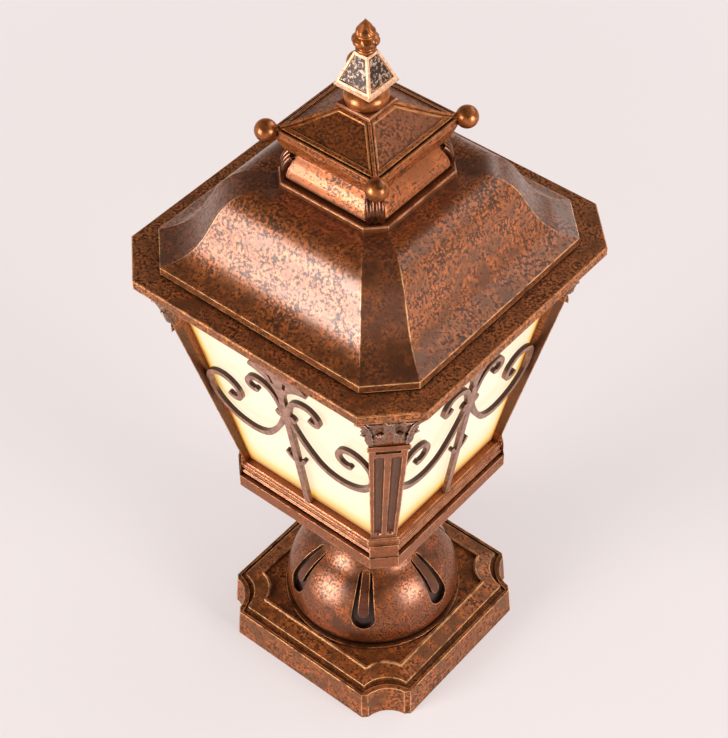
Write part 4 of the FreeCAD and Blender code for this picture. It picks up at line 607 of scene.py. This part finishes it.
def past(value, start):
    """Nought up to the start, then rising evenly to one at one."""
    return max(0.0, (value - start) / (1 - start))


def at_height(stations, height):
    """The sizes of a profile at this height, between the two stations round it."""
    for (low, *start), (high, *end) in zip(stations, stations[1:]):
        if height <= high:
            share = (height - low) / (high - low)
            return [first + (last - first) * share for first, last in zip(start, end)]
    return stations[-1][1:]


def leaf_form(across, rise):
    """Outward lift and narrowing of a lobed, ribbed leaf; across runs -1 to 1, rise 0 to 1."""
    lobes = math.cos(2 * math.pi * (LEAF_LOBES * rise + 0.25 * abs(across)))
    width = (0.62 + 0.38 * math.sin(math.pi * min(1.0, 0.20 + 0.62 * rise))) * (1 + 0.13 * lobes)
    width *= min(1.0, math.sqrt(max(0.0, 1.06 - rise)) * 1.7)
    crown = 1 - abs(across) ** 3
    rib = math.exp(-(across / LEAF_RIB_WIDTH) ** 2)
    veins = math.cos(2 * math.pi * (LEAF_LOBES * rise + 0.9 * abs(across)))
    lift = crown * (LEAF_CROWN + LEAF_CROWN_GAIN * rise) + LEAF_VEIN * veins * crown - LEAF_RIB * rib
    return lift + LEAF_CURL * past(rise, LEAF_CURL_START) ** 2, width


def add_leaf(mesh, place, low, height, half_width):
    """One leaf standing on a surface: place(across, up) gives its point and its outward way."""
    front, back = [], []
    for row in range(LEAF_ROWS + 1):
        rise = row / LEAF_ROWS
        up = low + height * (rise - LEAF_NOD * past(rise, LEAF_NOD_START) ** 2)
        for column in range(LEAF_COLUMNS + 1):
            across = 2 * column / LEAF_COLUMNS - 1
            lift, width = leaf_form(across, rise)
            point, way = place(across * width * half_width, up)
            on_rim = row < LEAF_ROWS and (column in (0, LEAF_COLUMNS) or row == 0)
            front.append(mesh.verts.new(point + way * (-LEAF_RIM if on_rim else lift)))
            back.append(mesh.verts.new(point - way * LEAF_BACK))
    step = LEAF_COLUMNS + 1
    for row in range(LEAF_ROWS):
        for column in range(LEAF_COLUMNS):
            corner = row * step + column
            ring = (corner, corner + 1, corner + step + 1, corner + step)
            mesh.faces.new([front[k] for k in ring])
            mesh.faces.new([back[k] for k in reversed(ring)])
    border = list(range(LEAF_COLUMNS)) + [row * step + LEAF_COLUMNS for row in range(LEAF_ROWS)]
    border += [LEAF_ROWS * step + k for k in range(LEAF_COLUMNS, 0, -1)]
    border += [row * step for row in range(LEAF_ROWS, 0, -1)]
    for k, following in zip(border, border[1:] + border[:1]):
        mesh.faces.new((front[following], front[k], back[k], back[following]))


def finish_mesh(name, mesh, finish, body):
    """A smooth piece of the scene that rides on a body."""
    data = bpy.data.meshes.new(name)
    bmesh.ops.recalc_face_normals(mesh, faces=mesh.faces)
    mesh.to_mesh(data)
    mesh.free()
    for face in data.polygons:
        face.use_smooth = True
    data.materials.append(finish)
    piece = bpy.data.objects.new(name, data)
    bpy.context.scene.collection.objects.link(piece)
    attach(piece, body)
    return piece


def make_capital_leaves(place_name, quarter):
    """Two rows of leaves round the head of one post."""
    turn = Matrix.Rotation(math.radians(90 * quarter), 3, "Z")
    out = Vector((1, -1, 0)).normalized()
    along = Vector((1, 1, 0)).normalized()

    def on_face(shift):
        def place(across, up):
            half, side = at_height(CAPITAL_STATIONS, up)
            point = out * ((half + side) / math.sqrt(2)) + along * (shift + across) + Vector((0, 0, up))
            return turn @ point, turn @ out
        return place

    def on_edge(hand):
        way = EDGE_WAYS[hand]
        level = Vector((-way.y, way.x, 0))

        def place(across, up):
            half, side = at_height(CAPITAL_STATIONS, up)
            start = Vector((side, -half, up)) if hand < 0 else Vector((half, -side, up))
            return turn @ (start + level * across - way * (EDGE_WRAP * abs(across))), turn @ way
        return place

    mesh = bmesh.new()
    for shift in LOW_PLACES:
        add_leaf(mesh, on_face(shift), *LOW_LEAF)
    for hand in EDGE_WAYS:
        add_leaf(mesh, on_edge(hand), *LOW_EDGE_LEAF)
        add_leaf(mesh, on_edge(hand), *HIGH_EDGE_LEAF)
    for shift in HIGH_PLACES:
        add_leaf(mesh, on_face(shift), *HIGH_LEAF)
    finish_mesh("capital_leaves_" + place_name, mesh, leaf_finish, "root")


# The turned bud, in metres: the height of its foot, and heights over it with their radii.
BUD_FOOT = 0.65580
BUD_PROFILE = (
    (0.0, 0.0068), (0.0014, 0.0078), (0.0031, 0.0076), (0.0042, 0.0064), (0.0062, 0.0080),
    (0.0090, 0.0096), (0.0112, 0.0097), (0.0134, 0.0082), (0.0148, 0.0068), (0.0168, 0.0076),
    (0.0190, 0.0070), (0.0224, 0.0045), (0.0255, 0.0020), (0.0280, 0.0002),
)
BUD_ROWS = 84
BUD_COLUMNS = 72

# Its carving: where the belly's leaves start and end and where the tip's start, their
# numbers and the share of a leaf by which they wind, and the depth of the belly's relief.
BELLY_LEAVES = 6
BELLY_LEAVES_FOOT = 0.0045
BELLY_LEAVES_HEAD = 0.0142
BELLY_WIND = 0.25
BELLY_SWELL = 0.0009
BELLY_GROOVE = 0.0011
BELLY_HEM = 0.0003
BELLY_HEM_WIDTH = 0.14
TIP_LEAVES = 4
TIP_LEAVES_FOOT = 0.0150
TIP_WIND = 0.7
TIP_GROOVE = 0.16


def from_middle(turn):
    """Nought in the middle of a leaf and one between two, for a turn counted in leaves."""
    return abs(2 * (turn - math.floor(turn)) - 1)


def carved_radius(lift, angle):
    """The bud's radius at a height over its foot, with the leaves cut into it."""
    radius = at_height(BUD_PROFILE, lift)[0]
    round_share = angle / (2 * math.pi)
    if BELLY_LEAVES_FOOT < lift < BELLY_LEAVES_HEAD:
        share = (lift - BELLY_LEAVES_FOOT) / (BELLY_LEAVES_HEAD - BELLY_LEAVES_FOOT)
        across = from_middle(BELLY_LEAVES * round_share + BELLY_WIND * share)
        body = math.sin(math.pi * share)
        radius += BELLY_SWELL * body * (1 - across ** 4) - BELLY_GROOVE * body * across ** 8
        radius -= BELLY_HEM * body * math.exp(-((1 - across) / BELLY_HEM_WIDTH) ** 2)
    elif lift > TIP_LEAVES_FOOT:
        share = (lift - TIP_LEAVES_FOOT) / (BUD_PROFILE[-1][0] - TIP_LEAVES_FOOT)
        across = from_middle(TIP_LEAVES * round_share + TIP_WIND * share)
        radius *= 1 - TIP_GROOVE * across ** 5 * math.sin(math.pi * min(1.0, share * 1.2))
    return radius


def make_bud():
    """Bud with six lapping leaves round its belly and four on its tip."""
    mesh = bmesh.new()
    top = BUD_PROFILE[-1][0]
    rings = []
    for row in range(BUD_ROWS + 1):
        lift = top * row / BUD_ROWS
        ring = []
        for column in range(BUD_COLUMNS):
            angle = 2 * math.pi * column / BUD_COLUMNS
            radius = carved_radius(lift, angle)
            ring.append(mesh.verts.new((radius * math.cos(angle), radius * math.sin(angle), BUD_FOOT + lift)))
        rings.append(ring)
    for low, high in zip(rings, rings[1:]):
        for column in range(BUD_COLUMNS):
            following = (column + 1) % BUD_COLUMNS
            mesh.faces.new((low[column], low[following], high[following], high[column]))
    mesh.faces.new(rings[-1])
    mesh.faces.new(list(reversed(rings[0])))
    bud = finish_mesh("carved_bud", mesh, ball_finish, "bud")
    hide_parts("finial_bud")


leaf_finish = patina("leaf patina", (160, 112, 88), 0.62, 0.0012, rough=0.34, depth=0.00008,
                     wear_and_highlight=(226, 184, 152), shift=91, coat=0.6, reach=0.004)
for quarter, place_name in enumerate(CORNERS):
    make_capital_leaves(place_name, quarter)
make_bud()


# The floor and the room. Far from the light the floor shows the backdrop's colour alone.
BACKDROP = (246, 237, 236)
FLOOR_REACH = 8.0
FLOOR_FAR = (0.5, 1.8)
ROOM_SEEN = (190, 186, 186)
ROOM_LEVEL = (236, 228, 226)
ROOM_OVERHEAD = (74, 64, 58)


def make_floor():
    """A pale floor that takes the shadow and fades into the backdrop."""
    tree = Finish("pale floor")
    tone = tree.mix(tree.grain(0.6, 2.0), (232, 223, 221), (238, 229, 227))
    matt = tree.node("ShaderNodeBsdfDiffuse", {}, {"Color": tone, "Roughness": 0.6})
    glow = tree.node("ShaderNodeEmission", {}, {"Color": paint(BACKDROP), "Strength": 1.0})
    east, north, _ = tree.axes(tree.place())
    far = tree.step((east * east + north * north).root(), *FLOOR_FAR)
    both = tree.node("ShaderNodeMixShader", {}, {"Fac": tree.seen() * (0.5 + far * 0.5), 1: matt, 2: glow})
    tree.node("ShaderNodeOutputMaterial", {}, {"Surface": both})
    mesh = bpy.data.meshes.new("floor")
    corners = [(x * FLOOR_REACH, y * FLOOR_REACH, 0) for x, y in ((-1, -1), (1, -1), (1, 1), (-1, 1))]
    mesh.from_pydata(corners, [], [(0, 1, 2, 3)])
    mesh.materials.append(tree.owner)
    floor = bpy.data.objects.new("floor", mesh)
    bpy.context.scene.collection.objects.link(floor)


def make_room():
    """The light from all round, with the plain backdrop where the camera looks past the floor."""
    world = bpy.data.worlds.new("soft room")
    bpy.context.scene.world = world
    tree = Finish("soft room", world)
    up = tree.axes(tree.node("ShaderNodeTexCoord", output="Generated"))[2]
    pale = tree.mix(tree.step(up, 0.15, 0.75), ROOM_LEVEL, ROOM_OVERHEAD)
    shade = tree.mix(tree.seen(), ROOM_SEEN, pale)
    sky = tree.node("ShaderNodeBackground", {}, {"Color": shade, "Strength": 0.62})
    backdrop = tree.node("ShaderNodeBackground", {}, {"Color": paint(BACKDROP), "Strength": 1.0})
    straight = tree.node("ShaderNodeLightPath", output="Is Camera Ray")
    both = tree.node("ShaderNodeMixShader", {}, {"Fac": straight, 1: sky, 2: backdrop})
    tree.node("ShaderNodeOutputWorld", {}, {"Surface": both})


# The lamps face this point. Each has its direction from there, distance, width and height in
# metres, and power in watts.
LAMP_TARGET = Vector((0, 0, 0.35))
LAMPS = (
    ("left soft box", (-0.31, -0.89, 0.20), 2.4, 1.1, 1.3, 64.0),
    ("right soft box", (0.96, 0.04, 0.20), 2.6, 1.0, 1.2, 52.0),
    ("back soft box", (0.10, 0.85, 0.52), 2.8, 1.6, 1.0, 14.0),
    ("high soft box", (0.42, 0.52, 0.74), 2.6, 1.8, 1.8, 12.0),
)


def make_lamp(name, direction, distance, width, height, power):
    """A soft box that faces the middle of the light."""
    data = bpy.data.lights.new(name, "AREA")
    data.shape = "RECTANGLE"
    data.size = width
    data.size_y = height
    data.energy = power
    lamp = bpy.data.objects.new(name, data)
    bpy.context.scene.collection.objects.link(lamp)
    heading = Vector(direction).normalized()
    lamp.location = LAMP_TARGET + heading * distance
    lamp.rotation_euler = heading.to_track_quat("Z", "Y").to_euler()


# The photograph's view: the angles in degrees, the place in metres, the lens in millimetres.
CAMERA_AZIMUTH = 40.364
CAMERA_ELEVATION = 46.312
CAMERA_ROLL = -0.9105
CAMERA_PLACE = (0.74314, -0.88208, 1.53114)
CAMERA_LENS = 96.87
CAMERA_SENSOR = 36.0


def make_camera():
    """The camera at the photograph's place."""
    azimuth, elevation, roll = (
        math.radians(angle) for angle in (CAMERA_AZIMUTH, CAMERA_ELEVATION, CAMERA_ROLL)
    )
    back = Vector((
        math.sin(azimuth) * math.cos(elevation), -math.cos(azimuth) * math.cos(elevation), math.sin(elevation)
    ))
    level = Vector((math.cos(azimuth), math.sin(azimuth), 0))
    rise = back.cross(level)
    right = math.cos(roll) * level + math.sin(roll) * rise
    up = -math.sin(roll) * level + math.cos(roll) * rise
    data = bpy.data.cameras.new("camera")
    data.sensor_fit = "AUTO"
    data.sensor_width = CAMERA_SENSOR
    data.lens = CAMERA_LENS
    camera = bpy.data.objects.new("camera", data)
    bpy.context.scene.collection.objects.link(camera)
    facing = Matrix((right, up, back)).transposed().to_4x4()
    camera.matrix_world = Matrix.Translation(CAMERA_PLACE) @ facing
    bpy.context.scene.camera = camera


make_floor()
make_room()
for lamp in LAMPS:
    make_lamp(*lamp)
make_camera()
bpy.context.scene.view_settings.view_transform = "Standard"
